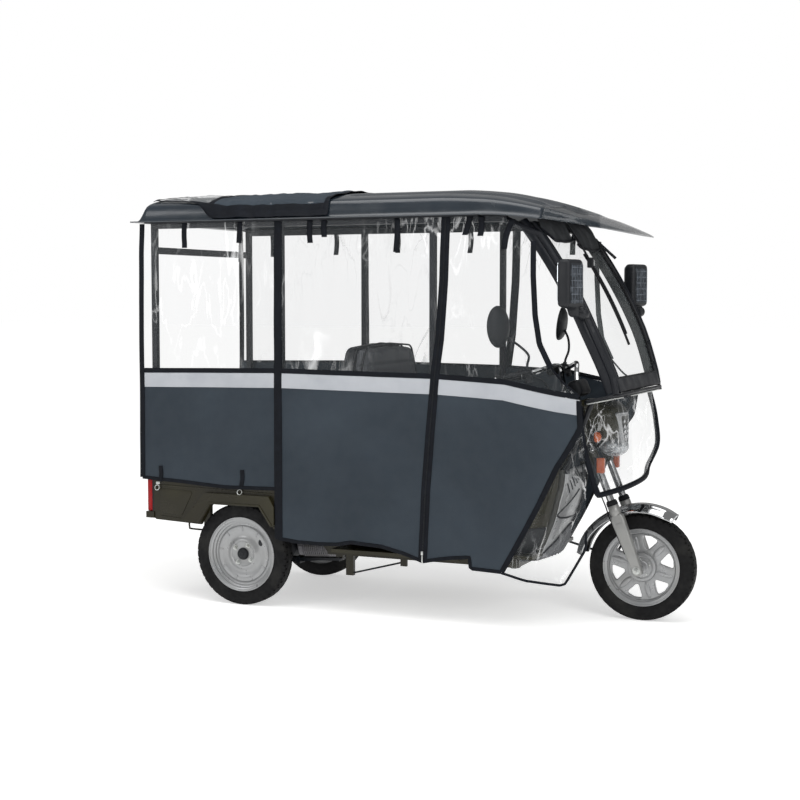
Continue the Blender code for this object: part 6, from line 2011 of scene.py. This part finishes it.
HOUSING = (  # height, rear and nose from the rear axle, and half width
    (0.768, 1.535, 1.600, 0.080),
    (0.774, 1.526, 1.622, 0.096),
    (0.790, 1.518, 1.634, 0.108),
    (0.830, 1.502, 1.640, 0.117),
    (0.870, 1.485, 1.640, 0.120),
    (0.900, 1.473, 1.632, 0.117),
    (0.922, 1.464, 1.612, 0.106),
    (0.934, 1.460, 1.582, 0.086),
    (0.938, 1.470, 1.552, 0.055),
)
rings = []
for z, rear, nose, half in HOUSING:
    ring = []
    for i in range(49):
        angle = math.pi * (i / 48 - 0.5)
        reach = max(0.0, math.cos(angle)) ** 0.55
        swing = math.copysign(abs(math.sin(angle)) ** 0.75, angle)
        ring.append(Vector((along(rear + 0.02 + (nose - rear - 0.02) * reach), half * swing, z)))
    ring += [Vector((along(rear), half * y, z)) for y in (0.85, 0.3, -0.3, -0.85)]
    rings.append(ring)
housing = put("lamp_housing", loft(rings), olive_paint, STEER, 50)
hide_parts("headlamp_nacelle")
outer = rounded([(0.090, 0.888), (-0.090, 0.888), (-0.045, 0.742), (0.045, 0.742)], 0.010)
inner = rounded([(0.058, 0.872), (-0.058, 0.872), (-0.030, 0.760), (0.030, 0.760)], 0.008)


def bowed(bm, front):
    """Lays a flat plate on the housing's curved face."""
    for vert in bm.verts:
        vert.co.x += front - 2.6 * vert.co.y**2
    return bm


frame_plate = plate([outer, inner], 0.012, 0.003, 3)
bmesh.ops.subdivide_edges(frame_plate, edges=frame_plate.edges, cuts=1)
frame_plate.transform(FACING)
put("lamp_frame", bowed(frame_plate, along(1.641)), silver_paint, STEER)
lens = plate([inner], 0.006, 0.001, 2)
lens.transform(FACING)
put("lamp_lens", bowed(lens, along(1.641)), lamp_glass, STEER)
bm = bmesh.new()
for sign in (-1, 1):
    for i in range(4):
        z = 0.784 + i * 0.022
        y = sign * (0.014 + 0.0045 * i)
        box_between(bm, (-0.001, y - 0.008, z - 0.0075), (0.0035, y + 0.008, z + 0.0075), 0.002)
put("lamp_reflectors", bowed(bm, along(1.6432)), chrome, STEER)
bm = bmesh.new()
add_ball(bm, Vector((along(1.592), 0, 0.738)), (0.060, 0.088, 0.044), 40, 24)
put("lower_lens", bm, clear_lens, STEER)
bm = bmesh.new()
add_ball(bm, Vector((along(1.570), 0, 0.742)), (0.045, 0.070, 0.030), 24, 14)
put("lower_lens_core", bm, chrome, STEER)
SIGNAL_Y = 0.1165
for side, sign in SIDES:
    bm = bmesh.new()
    seat = Vector((along(1.545), sign * 0.130, 0.787))
    add_ball(bm, seat + Vector((0.006, 0, 0)), (0.020, 0.0225, 0.0225), 28, 16)
    y = sign * SIGNAL_Y
    box_between(bm, (along(1.549), y - 0.014, 0.634), (along(1.583), y + 0.014, 0.698), 0.005)
    put(f"signal_lens_{side}", bm, amber_lens, STEER)
    bm = bmesh.new()
    add_stud(bm, seat + Vector((-0.020, 0, 0)), AHEAD, 0.0215, 0.022, chamfer=0.003)
    stalk = [seat + Vector((-0.012, -sign * 0.010, 0)), seat + Vector((-0.02, -sign * 0.045, -0.004))]
    add_bm(bm, tube(stalk, 0.008, smooth=False))
    box_between(bm, (along(1.540), y - 0.0145, 0.632), (along(1.552), y + 0.0145, 0.700), 0.002)
    put(f"signal_base_{side}", bm, black_plastic, STEER)
